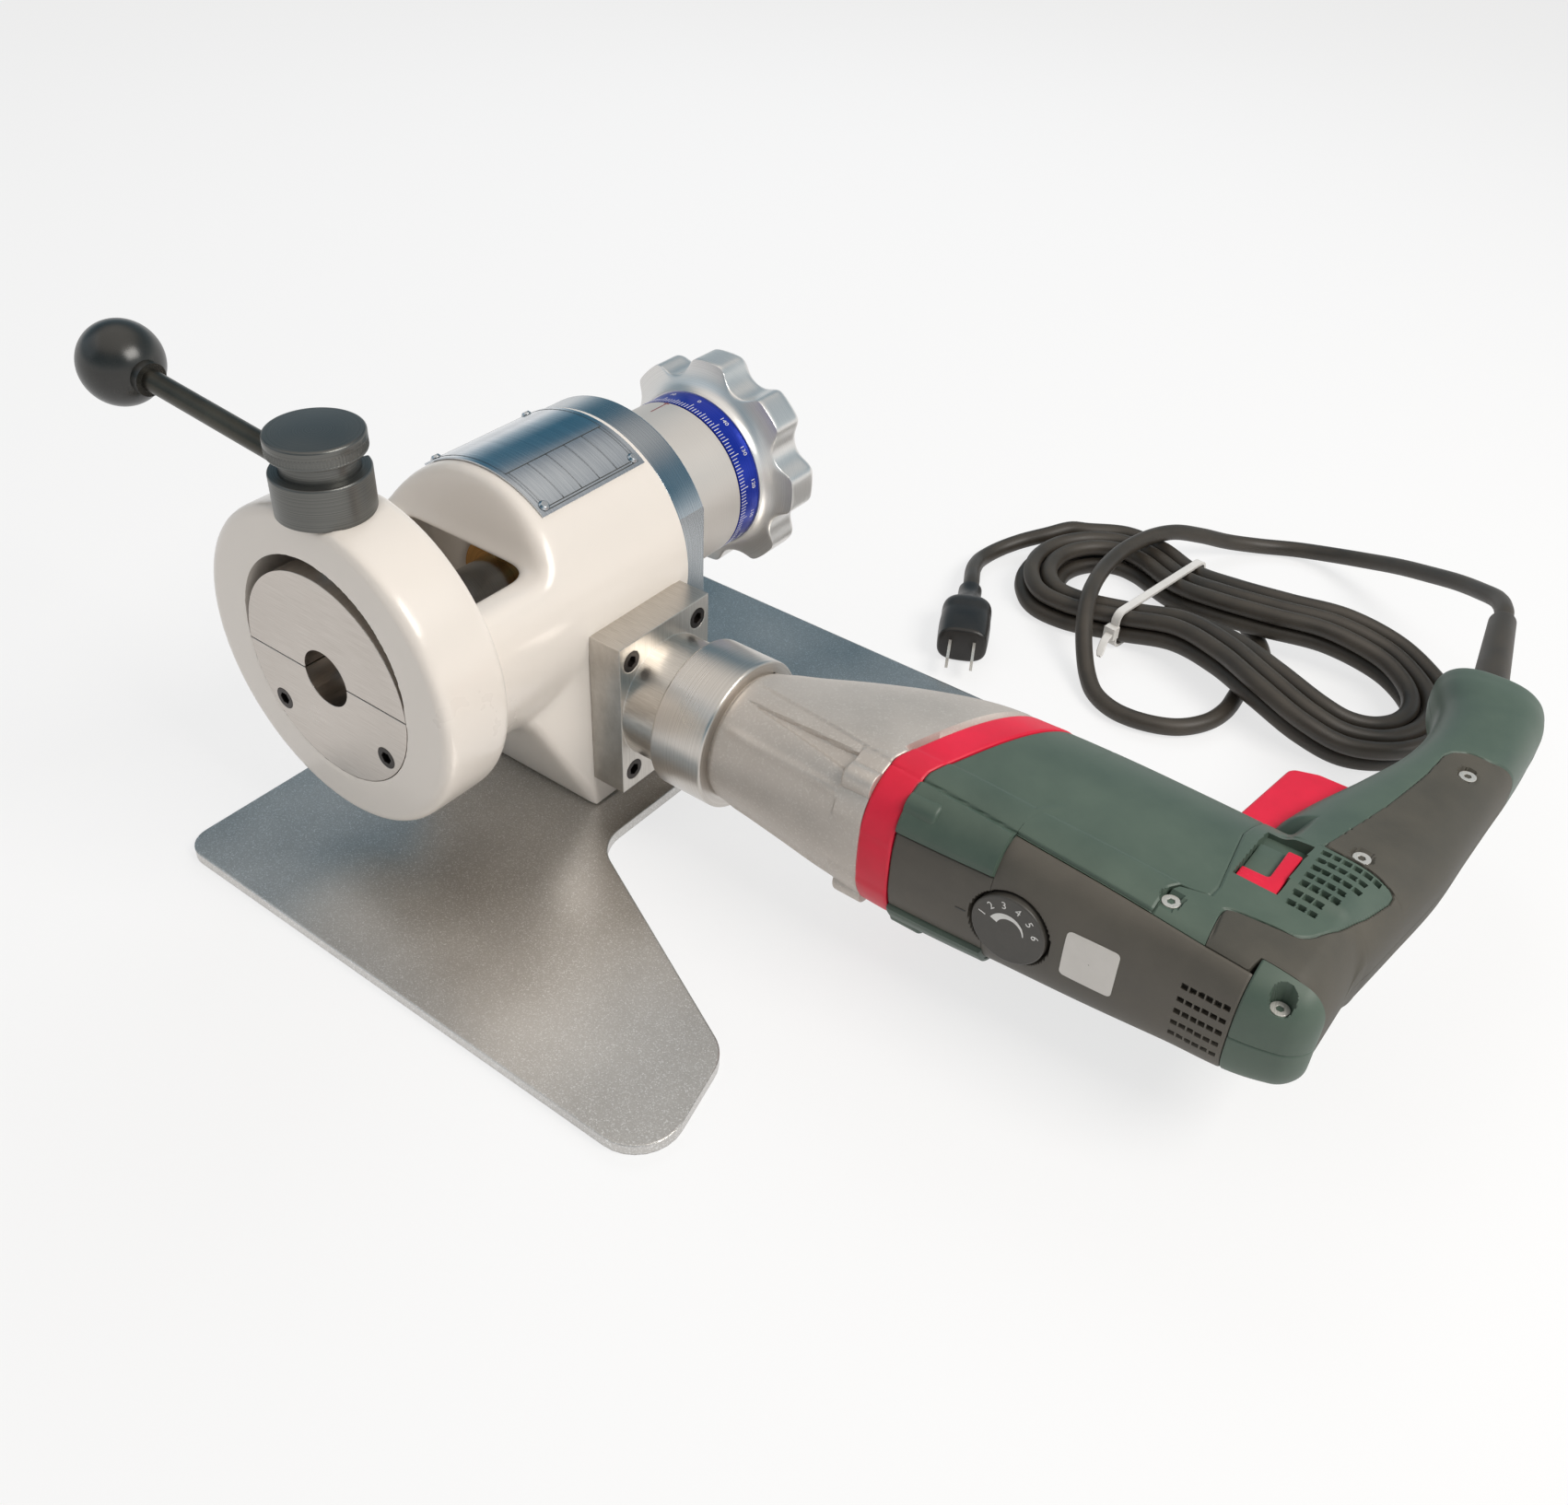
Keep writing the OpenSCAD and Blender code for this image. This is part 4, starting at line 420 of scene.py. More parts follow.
# finish: Principled shader, colour and roughness mixed by one of the group's outputs, bump from another
def makeFinish(name, v):
    mat = bpy.data.materials.new(name)
    mat.use_nodes = True
    tree = mat.node_tree
    shader = tree.nodes["Principled BSDF"]
    shader.inputs["Metallic"].default_value = v.get("metal", 0.0)
    shader.inputs["Specular IOR Level"].default_value = v.get("specular", 0.5)
    shader.inputs["Coat Weight"].default_value = v.get("coat", 0.0)
    shader.inputs["Coat Roughness"].default_value = v.get("coatRough", 0.1)
    link = tree.links.new
    marks = tree.nodes.new("ShaderNodeGroup")
    kind = v.get("group", "grain")
    marks.node_tree = groups[kind]
    for socket, value in v.get("marks", {}).items():
        marks.inputs[socket].default_value = value
    grain = kind == "grain"
    tone, shine, bump = (tree.nodes.new("ShaderNodeMix"), tree.nodes.new("ShaderNodeMapRange"),
                         tree.nodes.new("ShaderNodeBump"))
    tone.data_type = "RGBA"
    tone.inputs["A"].default_value, tone.inputs["B"].default_value = v["dark"], v["light"]
    reach = tree.nodes.new("ShaderNodeMapRange")
    for node in (reach, shine):
        node.inputs["From Min"].default_value, node.inputs["From Max"].default_value = 0.3, 0.7
    link(marks.outputs["Mottle" if grain else "Marks"], reach.inputs["Value"])
    link(reach.outputs["Result"], tone.inputs["Factor"])
    colour = tone.outputs["Result"]
    if "specks" in v:
        dots = tree.nodes.new("ShaderNodeMix")
        dots.data_type = "RGBA"
        dots.inputs["B"].default_value = v["specks"][0]
        amount = tree.nodes.new("ShaderNodeMath")
        amount.operation = "MULTIPLY"
        amount.inputs[1].default_value = v["specks"][1]
        link(marks.outputs["Specks"], amount.inputs[0])
        link(amount.outputs[0], dots.inputs["Factor"])
        link(colour, dots.inputs["A"])
        colour = dots.outputs["Result"]
    link(colour, shader.inputs["Base Color"])
    shine.inputs["To Min"].default_value, shine.inputs["To Max"].default_value = v["rough"]
    link(marks.outputs["Mottle" if grain else "Cloud"], shine.inputs["Value"])
    link(shine.outputs["Result"], shader.inputs["Roughness"])
    if "edge" in v:
        soft = tree.nodes.new("ShaderNodeBevel")
        soft.samples = 6
        soft.inputs["Radius"].default_value = v["edge"]
        link(soft.outputs["Normal"], bump.inputs["Normal"])
    bump.inputs["Strength"].default_value = v.get("bump", 0.1)
    bump.inputs["Distance"].default_value = v.get("depth", 0.0002)
    link(marks.outputs["Height" if grain else "Marks"], bump.inputs["Height"])
    link(bump.outputs["Normal"], shader.inputs["Normal"])
    return mat


axisY = {"Centre": (0, 0.122, 0.102), "Axis": (0, 1, 0)}
axisX = {"Centre": (0, 0.122, 0.061), "Axis": (1, 0, 0)}
axisZ = {"Centre": (0, 0.014, 0.1), "Axis": (0, 0, 1)}
finishes = {
    "enamel": {"dark": srgb(233, 226, 218), "light": srgb(235, 228, 220), "rough": (0.27, 0.29),
               "coat": 0.35, "coatRough": 0.12, "bump": 0.025, "depth": 0.0004, "marks": {"Broad": 14, "Fine": 300}},
    "blastedPlate": {"dark": srgb(182, 179, 175), "light": srgb(206, 203, 199), "metal": 1.0,
                     "edge": 0.0012, "rough": (0.27, 0.36), "bump": 0.22, "depth": 0.0002,
                     "specks": ((1, 1, 1, 1), 0.6), "marks": {"Broad": 11, "Fine": 1500, "Speck": 2400}},
    "jawSteel": {"group": "brush", "dark": srgb(184, 176, 168), "light": srgb(206, 199, 192), "metal": 1.0,
                 "edge": 0.0006, "rough": (0.26, 0.4), "bump": 0.12, "marks": {"Rate": (60, 60, 2600)}},
    "gunmetal": {"group": "lathe", "dark": srgb(92, 92, 90), "light": srgb(118, 118, 114), "metal": 0.8,
                 "edge": 0.0006, "rough": (0.3, 0.42), "bump": 0.015, "marks": dict(axisZ, Rate=2600.0)},
    "leverSteel": {"dark": srgb(58, 56, 50), "light": srgb(82, 79, 70), "metal": 0.8,
                   "rough": (0.3, 0.45), "bump": 0.06, "marks": {"Broad": 30, "Fine": 1500}},
    "ballPlastic": {"dark": srgb(34, 34, 31), "light": srgb(46, 45, 41), "rough": (0.22, 0.34),
                    "specular": 0.6, "bump": 0.03, "marks": {"Broad": 25, "Fine": 700}},
    "polishedSteel": {"group": "brush", "dark": srgb(178, 184, 190), "light": srgb(212, 216, 220), "metal": 1.0,
                      "edge": 0.0003, "rough": (0.12, 0.2), "bump": 0.03, "marks": {"Rate": (40, 1500, 40)}},
    "turnedSteel": {"group": "lathe", "dark": srgb(165, 170, 174), "light": srgb(205, 208, 210), "metal": 1.0,
                    "edge": 0.0004, "rough": (0.16, 0.26), "bump": 0.06, "marks": dict(axisY, Rate=2600.0)},
    "sleeveAluminium": {"group": "lathe", "dark": srgb(204, 198, 192), "light": srgb(214, 209, 203), "metal": 0.45,
                        "edge": 0.0006, "rough": (0.4, 0.5), "bump": 0.012, "marks": dict(axisY, Rate=2600.0)},
    "knobAluminium": {"group": "lathe", "dark": srgb(212, 210, 207), "light": srgb(238, 236, 233), "metal": 0.8,
                      "rough": (0.3, 0.4), "bump": 0.03, "marks": dict(axisY, Rate=2600.0)},
    "flangeAluminium": {"group": "brush", "dark": srgb(186, 180, 172), "light": srgb(216, 211, 204), "metal": 1.0,
                        "edge": 0.0008, "rough": (0.3, 0.42), "bump": 0.08, "marks": {"Rate": (90, 2200, 60)}},
    "collarAluminium": {"group": "lathe", "dark": srgb(190, 184, 177), "light": srgb(220, 215, 209), "metal": 1.0,
                        "edge": 0.0008, "rough": (0.26, 0.38), "bump": 0.08, "marks": dict(axisX, Rate=2300.0)},
    "blueAnodised": {"group": "lathe", "dark": srgb(14, 40, 150), "light": srgb(24, 58, 185), "metal": 0.55,
                     "rough": (0.26, 0.36), "bump": 0.03, "marks": dict(axisY, Rate=1800.0)},
    "bronze": {"group": "lathe", "dark": srgb(160, 118, 66), "light": srgb(196, 152, 92), "metal": 1.0,
               "rough": (0.25, 0.38), "bump": 0.06, "marks": dict(axisY, Rate=1800.0)},
    "gearCase": {"dark": srgb(184, 176, 168), "light": srgb(206, 198, 190), "metal": 0.5,
                 "rough": (0.42, 0.55), "bump": 0.3, "depth": 0.00015, "specks": (srgb(215, 210, 203), 0.5),
                 "marks": {"Broad": 16, "Fine": 1700, "Speck": 1400}},
    "redPlastic": {"dark": srgb(205, 14, 48), "light": srgb(228, 20, 60), "rough": (0.38, 0.5),
                   "bump": 0.08, "depth": 0.0001, "marks": {"Broad": 30, "Fine": 2200}},
    "greenPlastic": {"dark": srgb(66, 82, 72), "light": srgb(84, 100, 88), "rough": (0.42, 0.56),
                     "bump": 0.16, "depth": 0.00012, "marks": {"Broad": 18, "Fine": 1900}},
    "olivePlastic": {"dark": srgb(74, 70, 63), "light": srgb(94, 89, 80), "rough": (0.46, 0.6),
                     "bump": 0.22, "depth": 0.00014, "marks": {"Broad": 18, "Fine": 2100}},
    "gripRubber": {"dark": srgb(62, 60, 53), "light": srgb(82, 78, 69), "rough": (0.55, 0.7),
                   "bump": 0.3, "depth": 0.00018, "marks": {"Broad": 22, "Fine": 1500}},
    "cordRubber": {"dark": srgb(50, 45, 39), "light": srgb(66, 60, 52), "rough": (0.42, 0.56),
                   "bump": 0.12, "depth": 0.00015, "marks": {"Broad": 40, "Fine": 1200}},
    "plugBlack": {"dark": srgb(28, 26, 24), "light": srgb(42, 39, 36), "rough": (0.32, 0.46),
                  "bump": 0.1, "marks": {"Broad": 40, "Fine": 1400}},
    "whiteNylon": {"dark": srgb(214, 212, 208), "light": srgb(232, 231, 228), "edge": 0.0006,
                   "rough": (0.35, 0.48), "bump": 0.05, "marks": {"Broad": 40, "Fine": 900}},
    "blackOxide": {"dark": srgb(46, 42, 40), "light": srgb(70, 64, 60), "metal": 0.8,
                   "edge": 0.0004, "rough": (0.28, 0.42), "bump": 0.08, "marks": {"Broad": 60, "Fine": 1600}},
    "zincScrew": {"group": "lathe", "dark": srgb(196, 194, 188), "light": srgb(220, 218, 212), "metal": 0.5,
                  "edge": 0.0003, "rough": (0.3, 0.4), "bump": 0.08, "marks": dict(axisZ, Rate=2000.0)},
    "paleLabel": {"dark": srgb(206, 203, 198), "light": srgb(220, 217, 213), "rough": (0.4, 0.5),
                  "bump": 0.03, "marks": {"Broad": 30, "Fine": 700}},
    "redMark": {"dark": srgb(120, 30, 38), "light": srgb(140, 40, 46), "rough": (0.4, 0.5),
                "bump": 0.03, "marks": {"Broad": 60, "Fine": 900}},
    "engraved": {"dark": srgb(58, 60, 60), "light": srgb(84, 84, 82), "metal": 0.4,
                 "rough": (0.5, 0.6), "bump": 0.05, "marks": {"Broad": 60, "Fine": 900}},
    "dialBlack": {"dark": srgb(58, 56, 52), "light": srgb(74, 71, 66), "rough": (0.36, 0.46),
                  "bump": 0.08, "marks": {"Broad": 40, "Fine": 1500}},
    "whiteMark": {"dark": srgb(214, 214, 212), "light": srgb(236, 236, 234), "rough": (0.45, 0.55),
                  "bump": 0.03, "marks": {"Broad": 60, "Fine": 900}},
}
finish = {name: makeFinish(name, v) for name, v in finishes.items()}
print("finishes made,", len(finish))

# cord: lead from the relief, hank of two layers drawn in by the tie, tail to the plug (mm, as in the part's source)
cordSet = {"radius": 4.5, "step": 2.4, "sides": 16, "reliefFoot": (362.5, 357.0, 61.0), "reliefLean": 11.0,
           "reliefLength": 74.0, "hankMid": (226.0, 405.0), "hankTurn": -8.0, "run": 72.0, "halfWidth": 52.0,
           "turnStep": 9.9, "dip": 20.0, "waist": -15.0, "waistLength": 84.0, "layer": 9.6, "tie": -43.2,
           "tieRamp": 24.0, "tieLift": 2.0, "leadLift": 10.4, "rings": 124, "climb": (57, 62)}
leadRoute = [(340, 456, 57), (329, 470, 51), (315, 485, 43.5), (298, 499, 35), (280, 512, 26.5), (260, 523, 17.5),
             (239, 530, 10), (218, 530, 5.5), (200, 521, 5), (185, 506, 9), (174, 489, 16.5), (164, 471, 23),
             (157, 453, 25.2), (152, 431, 25), (152, 410, 25), (155, 390, 25.2), (160, 372, 24.4), (166, 358, 19.5),
             (174, 345, 12.5), (184, 332, 6.5), (194, 322, 4.7), (208.5, 315.5, 4.6), (224.5, 316.5, 4.6),
             (239, 323.5, 4.6), (248.5, 336.5, 4.6), (252, 352, 4.6), (250.5, 374, 4.6), (250.5, 396, 4.6),
             (247, 411.5, 4.6), (238, 424.5, 4.6)]
tailRoute = [(100, 438.5, 11.5), (89.5, 427.5, 8), (82.5, 414, 5.8), (80, 398, 5.4), (84, 383, 7.8)]
plugSet = {"foot": (97.0, 357.0, 10.6), "turn": -63.4}


# hank: two straight runs and two half rounds per loop, the half width falling by a step per loop to the climb
# and rising again after it, drawn in at the waist, lifted over the tie and over the lead that passes below
def hankPath(v):
    i = np.arange(v["rings"] + 1)
    mid = sum(v["climb"]) / 2
    w = v["halfWidth"] - v["turnStep"] * np.where(i < mid, i, 2 * mid - i) / 24
    k = (i + 3) % 24
    seg, arc, run = 2 * v["run"] / 5, math.pi / 7, v["run"]
    left, right = math.pi / 2 + (k - 5) * arc, (k - 17) * arc - math.pi / 2
    x = np.select([k <= 5, k <= 12, k <= 17], [run - k * seg, -run + w * np.cos(left), -run + (k - 12) * seg],
                  run + w * np.cos(right))
    y = np.select([k <= 5, k <= 12, k <= 17], [w, w * np.sin(left), -w], w * np.sin(right))
    pull = v["dip"] * np.cos(np.pi / 2 * np.minimum(1, abs(x - v["waist"]) / v["waistLength"])) ** 2
    y = y - np.sign(y) * np.minimum(abs(y), pull)
    tie = v["tieLift"] * np.exp(-((x - v["tie"]) / v["tieRamp"]) ** 2)
    over = np.where(i < 4, 0, smoothStep(-48, 0, x) - smoothStep(43, 105, x))
    z = v["radius"] + tie + (v["leadLift"] - tie) * over + v["layer"] * smoothStep(*v["climb"], i)
    t = math.radians(v["hankTurn"])
    return np.stack([v["hankMid"][0] + x * math.cos(t) - y * math.sin(t),
                     v["hankMid"][1] + x * math.sin(t) + y * math.cos(t), z], -1)


def makeCord(v):
    lean = math.radians(v["reliefLean"])
    out = np.array([-math.sin(lean), math.cos(lean), 0.0])
    tip = np.array(v["reliefFoot"]) + v["reliefLength"] * out
    hank = hankPath(v)
    into, leave = hank[1] - hank[0], hank[-1] - hank[-2]
    into, leave = into / np.linalg.norm(into), leave / np.linalg.norm(leave)
    turn = math.radians(plugSet["turn"])
    plugDir = np.array([math.cos(turn), math.sin(turn), 0.0])
    foot = np.array(plugSet["foot"])
    d = 2 * v["radius"]
    route = np.concatenate([[tip, tip + d * out], leadRoute, [hank[0] - d * into], hank, [hank[-1] + d * leave],
                            tailRoute, [foot - d * plugDir, foot]])
    path = smoothPath(route, v["step"])
    length = np.linalg.norm(np.diff(path, axis=0), axis=1).sum()
    cord = addPiece("powerCord", [tubePart(path, v["radius"], v["sides"])], finish["cordRubber"], "root", 60)
    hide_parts("cord_lead", "cord_hank", "cord_tail")
    return cord, path, length, tip


powerCord, cordPath, cordLength, cordExit = makeCord(cordSet)
print("cord made, length", round(cordLength), "mm")

# rows from 0 to 1, closer together near both ends and round the stations given
def denseRows(count, length, stations=()):
    base = np.linspace(0, 1, count)
    near = np.array([0.3, 0.6, 1.0, 1.6]) / length
    extra = [near, 1 - near] + [s + np.array([-0.6, -0.2, -0.05, 0.05, 0.2, 0.6]) / length for s in stations]
    return np.unique(np.clip(np.concatenate([base] + extra), 0, 1))


# drill: each section across X is a superellipse about the worm axis; its half sizes towards the dial, the back
# and the sides, and its squareness, come from a table over the length
drillSet = {
    "start": 121.5, "end": 378.5, "y": 122.0, "z": 61.0, "top": 33.0, "back": 72.0, "side": 35.0,
    "form": [(0.000, 0.88, 0.403, 0.83, 2.0), (0.054, 0.88, 0.500, 0.86, 2.1), (0.132, 0.91, 0.667, 0.91, 2.3),
             (0.230, 0.97, 0.833, 0.97, 2.5), (0.327, 1.00, 0.944, 1.00, 2.7), (0.444, 0.98, 0.986, 0.98, 2.8),
             (0.541, 0.94, 1.000, 0.94, 2.9), (0.696, 0.90, 1.000, 0.89, 2.9), (0.813, 0.86, 1.000, 0.83, 2.9),
             (0.930, 0.82, 1.000, 0.77, 2.9), (1.000, 0.67, 0.970, 0.68, 2.9)],
    "band": 200.5, "bandWidth": 15.0, "knee": 112.0, "lean": 0.32, "tab": 257.5, "tabHalf": 19.0, "cap": 352.5,
    "coverEdge": 109.0, "gap": 0.15, "endRound": 14.0, "capRound": 9.0, "lug": (100.0, 27.0),
    # straight lines on the sides, as x, y and slope; first slot and steps along X and Z
    "coverLine": (206.0, 107.6, -0.033), "stepLine": (156.0, 116.7, -0.17), "ribLine": (140.0, 98.5, -0.1),
    "slots": (334.0, 3.1, 5.9),
    "seam": [(90, 313.5), (117, 313.5), (121, 316), (122.6, 322), (124, 326.5), (130, 327), (166, 321.3),
             (194, 323.2), (200, 323.2)],
    "dial": (267.5, 15.8), "screwRadius": 3.4,
    "screws": [(316.5, 113.0, 89.52), (364.5, 102.0, 76.9), (360.5, 184.0, 85.56), (375.5, 266.0, 80.97)]}


def bodySize(x):
    v = drillSet
    share = (np.asarray(x, float) - v["start"]) / (v["end"] - v["start"])
    return smoothTable(v["form"], share) * np.array([v["top"], v["back"], v["side"], 1.0])


# distance from the axis to the skin at an angle from the back towards the upper side
def bodyRadius(x, phi):
    f = bodySize(x)
    half = np.where(np.cos(phi) > 0, f[..., 1], f[..., 0])
    n = f[..., 3]
    return ((abs(np.cos(phi)) / half) ** n + (abs(np.sin(phi)) / f[..., 2]) ** n) ** (-1 / n)


def bandEdge(y):
    return drillSet["band"] + drillSet["lean"] * np.maximum(0, y - drillSet["knee"])


def seamEdge(y):
    s = np.array(drillSet["seam"], float)
    return np.interp(y, s[:, 0], s[:, 1])


# falls from 1 to 0 on a quarter round over the last radius before an end
def roundEnd(x, end, radius):
    return np.sqrt(np.clip(1 - (np.clip(x - end + radius, 0, radius) / radius) ** 2, 0, 1))


def lineAt(name, x):
    x0, y0, slope = drillSet[name]
    return y0 + slope * (x - x0)


# line along which the dial cover meets the motor housing
def coverLine(x):
    return lineAt("coverLine", x)


# lugs on both sides, turned about X
def lugParts(profile, x):
    y, off = drillSet["lug"]
    return [turnedPart(profile, (x, y, drillSet["z"] + side * off), (1, 0, 0), 48) for side in (-1, 1)]


# angle of the cover's edge: below the tab at a fixed height, behind it on the cover line
def coverAngle(x):
    v = drillSet
    a = np.full(np.shape(x), 2.2)
    b = np.full(np.shape(x), 2.0)
    for _ in range(12):
        a = np.pi - np.arcsin(np.clip(v["tabHalf"] / bodyRadius(x, a), -1, 1))
        b = np.arccos(np.clip((coverLine(x) - v["y"]) / bodyRadius(x, b), -1, 1))
    return np.where(x < v["tab"], a, b)


def bodyPoints(x, phi, r):
    return np.stack([x, drillSet["y"] + r * np.cos(phi), drillSet["z"] + r * np.sin(phi)], -1)


# dip along an edge, from the distance to it
def edgeDip(distance, deep=0.45, reach=0.9):
    return -deep * (1 - smoothStep(0, reach, distance))


# flat seat of a case screw: the skin is cut down to the screw's level within its recess
def screwSeat(x, y, z):
    v = drillSet
    for px, py, top in v["screws"][:2]:
        inside = (np.hypot(x - px, y - py) < v["screwRadius"] + 0.9) & (z > v["z"] + 4)
        z = np.where(inside, np.minimum(z, top - 0.4), z)
    return z


def bodySkin(x, y):
    v = drillSet
    f = bodySize(np.asarray(x, float))
    half = np.where(y > v["y"], f[..., 1], f[..., 0])
    n = f[..., 3]
    return v["z"] + f[..., 2] * np.clip(1 - np.clip(abs(y - v["y"]) / half, 0, 1) ** n, 0, 1) ** (1 / n)


def makeGearHousing():
    v = drillSet
    s = denseRows(90, 80.0)[:, None]
    phi = np.linspace(0, 2 * np.pi, 300, endpoint=False)[None]
    x = v["start"] + s * (v["band"] - v["start"]) + 0 * phi
    phi = phi + 0 * s
    for _ in range(4):
        r = bodyRadius(x, phi)
        edge = bandEdge(v["y"] + r * np.cos(phi))
        x = v["start"] + s * (edge - v["gap"] - v["start"])
    r = bodyRadius(x, phi)
    y, z = v["y"] + r * np.cos(phi), abs(r * np.sin(phi))
    onSide = smoothStep(10, 14, z)
    grow = smoothStep(123, 134, x)
    relief = 0.9 * grow * onSide * smoothStep(-0.5, 0.5, y - lineAt("stepLine", x))
    share = np.clip((x - 127) / 59, 0, 1)
    valley, half = 112 - 8.6 * share, 3.6 * share
    block = smoothStep(187.0, 186.2, x)
    relief = relief - 2.6 * share**0.4 * block * onSide * smoothStep(half + 0.7, half - 0.5, abs(y - valley))
    relief = relief + 1.0 * grow * block * onSide * np.exp(-((y - lineAt("ribLine", x)) / 1.2) ** 2)
    relief = relief + 0.8 * (1 - block) * onSide * smoothStep(113, 108, y) * smoothStep(88, 92, y)
    slit = smoothStep(2.7, 2.0, edge - x) * smoothStep(117, 122, y) * smoothStep(188, 176, y)
    relief = relief - 3.2 * slit + edgeDip(edge - x) + edgeDip(x - v["start"], 1.0, 2.0)
    outer, inner = bodyPoints(x, phi, r + relief), bodyPoints(x, phi, r - 9)
    parts = [shellPart(outer, inner, True)]
    nose = roundedProfile([(12.2, 0, 0), (21.5, 0, 0.8), (21.5, 26, 0), (12.2, 26, 0)])
    parts.append(turnedPart(np.concatenate([nose, nose[:1]]), (v["start"] - 21, v["y"], v["z"]), (1, 0, 0), 96))
    lug = roundedProfile([(0, 0, 0), (6, 0, 1.8), (6, 14, 0.6), (0, 14, 0)])
    parts += lugParts(lug, v["band"] - 14)
    piece = addPiece("gearHousing", parts, finish["gearCase"], "root", 34)
    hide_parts("gear_housing")


def makeTrimBand():
    v = drillSet
    s = denseRows(16, 15.0)[:, None]
    phi = np.linspace(0, 2 * np.pi, 300, endpoint=False)[None] + 0 * s
    x = v["band"] + s * v["bandWidth"] + 0 * phi
    for _ in range(4):
        edge = bandEdge(v["y"] + bodyRadius(x, phi) * np.cos(phi))
        x = edge + v["gap"] + s * (v["bandWidth"] - 2 * v["gap"])
    r = bodyRadius(x, phi)
    y, z = v["y"] + r * np.cos(phi), abs(r * np.sin(phi))
    relief = 0.6 + 0.4 * smoothStep(121, 119, y) * smoothStep(10, 14, z)
    relief = relief + edgeDip(np.minimum(x - edge, edge + v["bandWidth"] - x), 0.5, 1.1)
    relief = relief - 0.5 * np.exp(-((y - coverLine(x)) / 0.5) ** 2)
    outer, inner = bodyPoints(x, phi, r + relief), bodyPoints(x, phi, r - 5)
    piece = addPiece("trimBand", [shellPart(outer, inner, True)], finish["redPlastic"], "root", 34)
    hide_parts("trim_band")


def makeMotorHousing():
    v = drillSet
    s = denseRows(110, 100.0, [0.4286])[:, None]
    u = np.sin(np.linspace(-np.pi / 2, np.pi / 2, 260))[None]
    u = 0.35 * u + 0.65 * np.linspace(-1, 1, 260)[None]
    x = v["band"] + v["bandWidth"] + s * 98 + 0 * u
    for _ in range(6):
        phi = u * (coverAngle(x) - 0.004)
        y = v["y"] + bodyRadius(x, phi) * np.cos(phi)
        front, rear = bandEdge(y) + v["bandWidth"] + v["gap"], seamEdge(y) - v["gap"]
        x = front + s * (rear - front)
    r = bodyRadius(x, phi)
    y, z = v["y"] + r * np.cos(phi), abs(r * np.sin(phi))
    onSide = smoothStep(8, 12, z)
    relief = 0.8 * onSide * smoothStep(122.6, 120.4, y)
    relief = relief - 0.8 * onSide * np.exp(-((y - coverLine(x) - 0.4) / 0.55) ** 2)
    step = smoothStep(0.2, 1.2, coverLine(x) - y) * smoothStep(v["tab"] + 0.1, v["tab"] - 0.5, x)
    relief = relief + 1.5 * onSide * step
    relief = relief + edgeDip(np.minimum(x - front, rear - x)) + edgeDip((1 - abs(u)) * r)
    outer = bodyPoints(x, phi, r + relief)
    outer[..., 2] = screwSeat(outer[..., 0], outer[..., 1], outer[..., 2])
    inner = bodyPoints(x, phi, r - 12)
    parts = [shellPart(outer, inner)]
    lug = roundedProfile([(0, 0, 0), (6, 0, 0.6), (6, 14, 1.8), (0, 14, 0)])
    parts += lugParts(lug, v["band"] + v["bandWidth"])
    piece = addPiece("motorHousing", parts, finish["greenPlastic"], "root", 34)
    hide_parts("motor_housing")


# dial cover: same skin inside the cover line, with a round well for the dial and five rows of short slots
def makeDialCover():
    v = drillSet
    length = v["cap"] - v["band"] - v["bandWidth"]
    s = denseRows(150, length, [(v["tab"] - v["band"] - v["bandWidth"]) / length])
    s = np.unique(np.concatenate([s, np.linspace(0.84, 1, 70)]))[:, None]
    u = np.linspace(-1, 1, 188)[None]
    x = v["band"] + v["bandWidth"] + v["gap"] + s * (length - 2 * v["gap"]) + 0 * u
    phi = np.pi + u * (np.pi - coverAngle(x) - 0.006)
    r = bodyRadius(x, phi)
    z = r * np.sin(phi)
    well = smoothStep(v["dial"][1] + 0.9, v["dial"][1], np.hypot(x - v["dial"][0], z))
    relief = -6.5 * well
    first, stepX, stepZ = v["slots"]
    cell, row = (x - first) / stepX, z / stepZ
    slot = (abs(cell - np.round(cell)) < 0.36) & (abs(row - np.round(row)) < 0.17)
    slot &= (np.round(cell) >= 0) & (np.round(cell) <= 5) & (abs(np.round(row)) <= 2)
    relief = relief - 2.4 * slot + edgeDip(np.minimum(x - v["band"] - v["bandWidth"], v["cap"] - x))
    relief = relief + edgeDip((1 - abs(u)) * 30)
    outer, inner = bodyPoints(x, phi, r + relief), bodyPoints(x, phi, r - 9)
    piece = addPiece("dialCover", [shellPart(outer, inner)], finish["olivePlastic"], "root", 30)
    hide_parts("dial_cover")


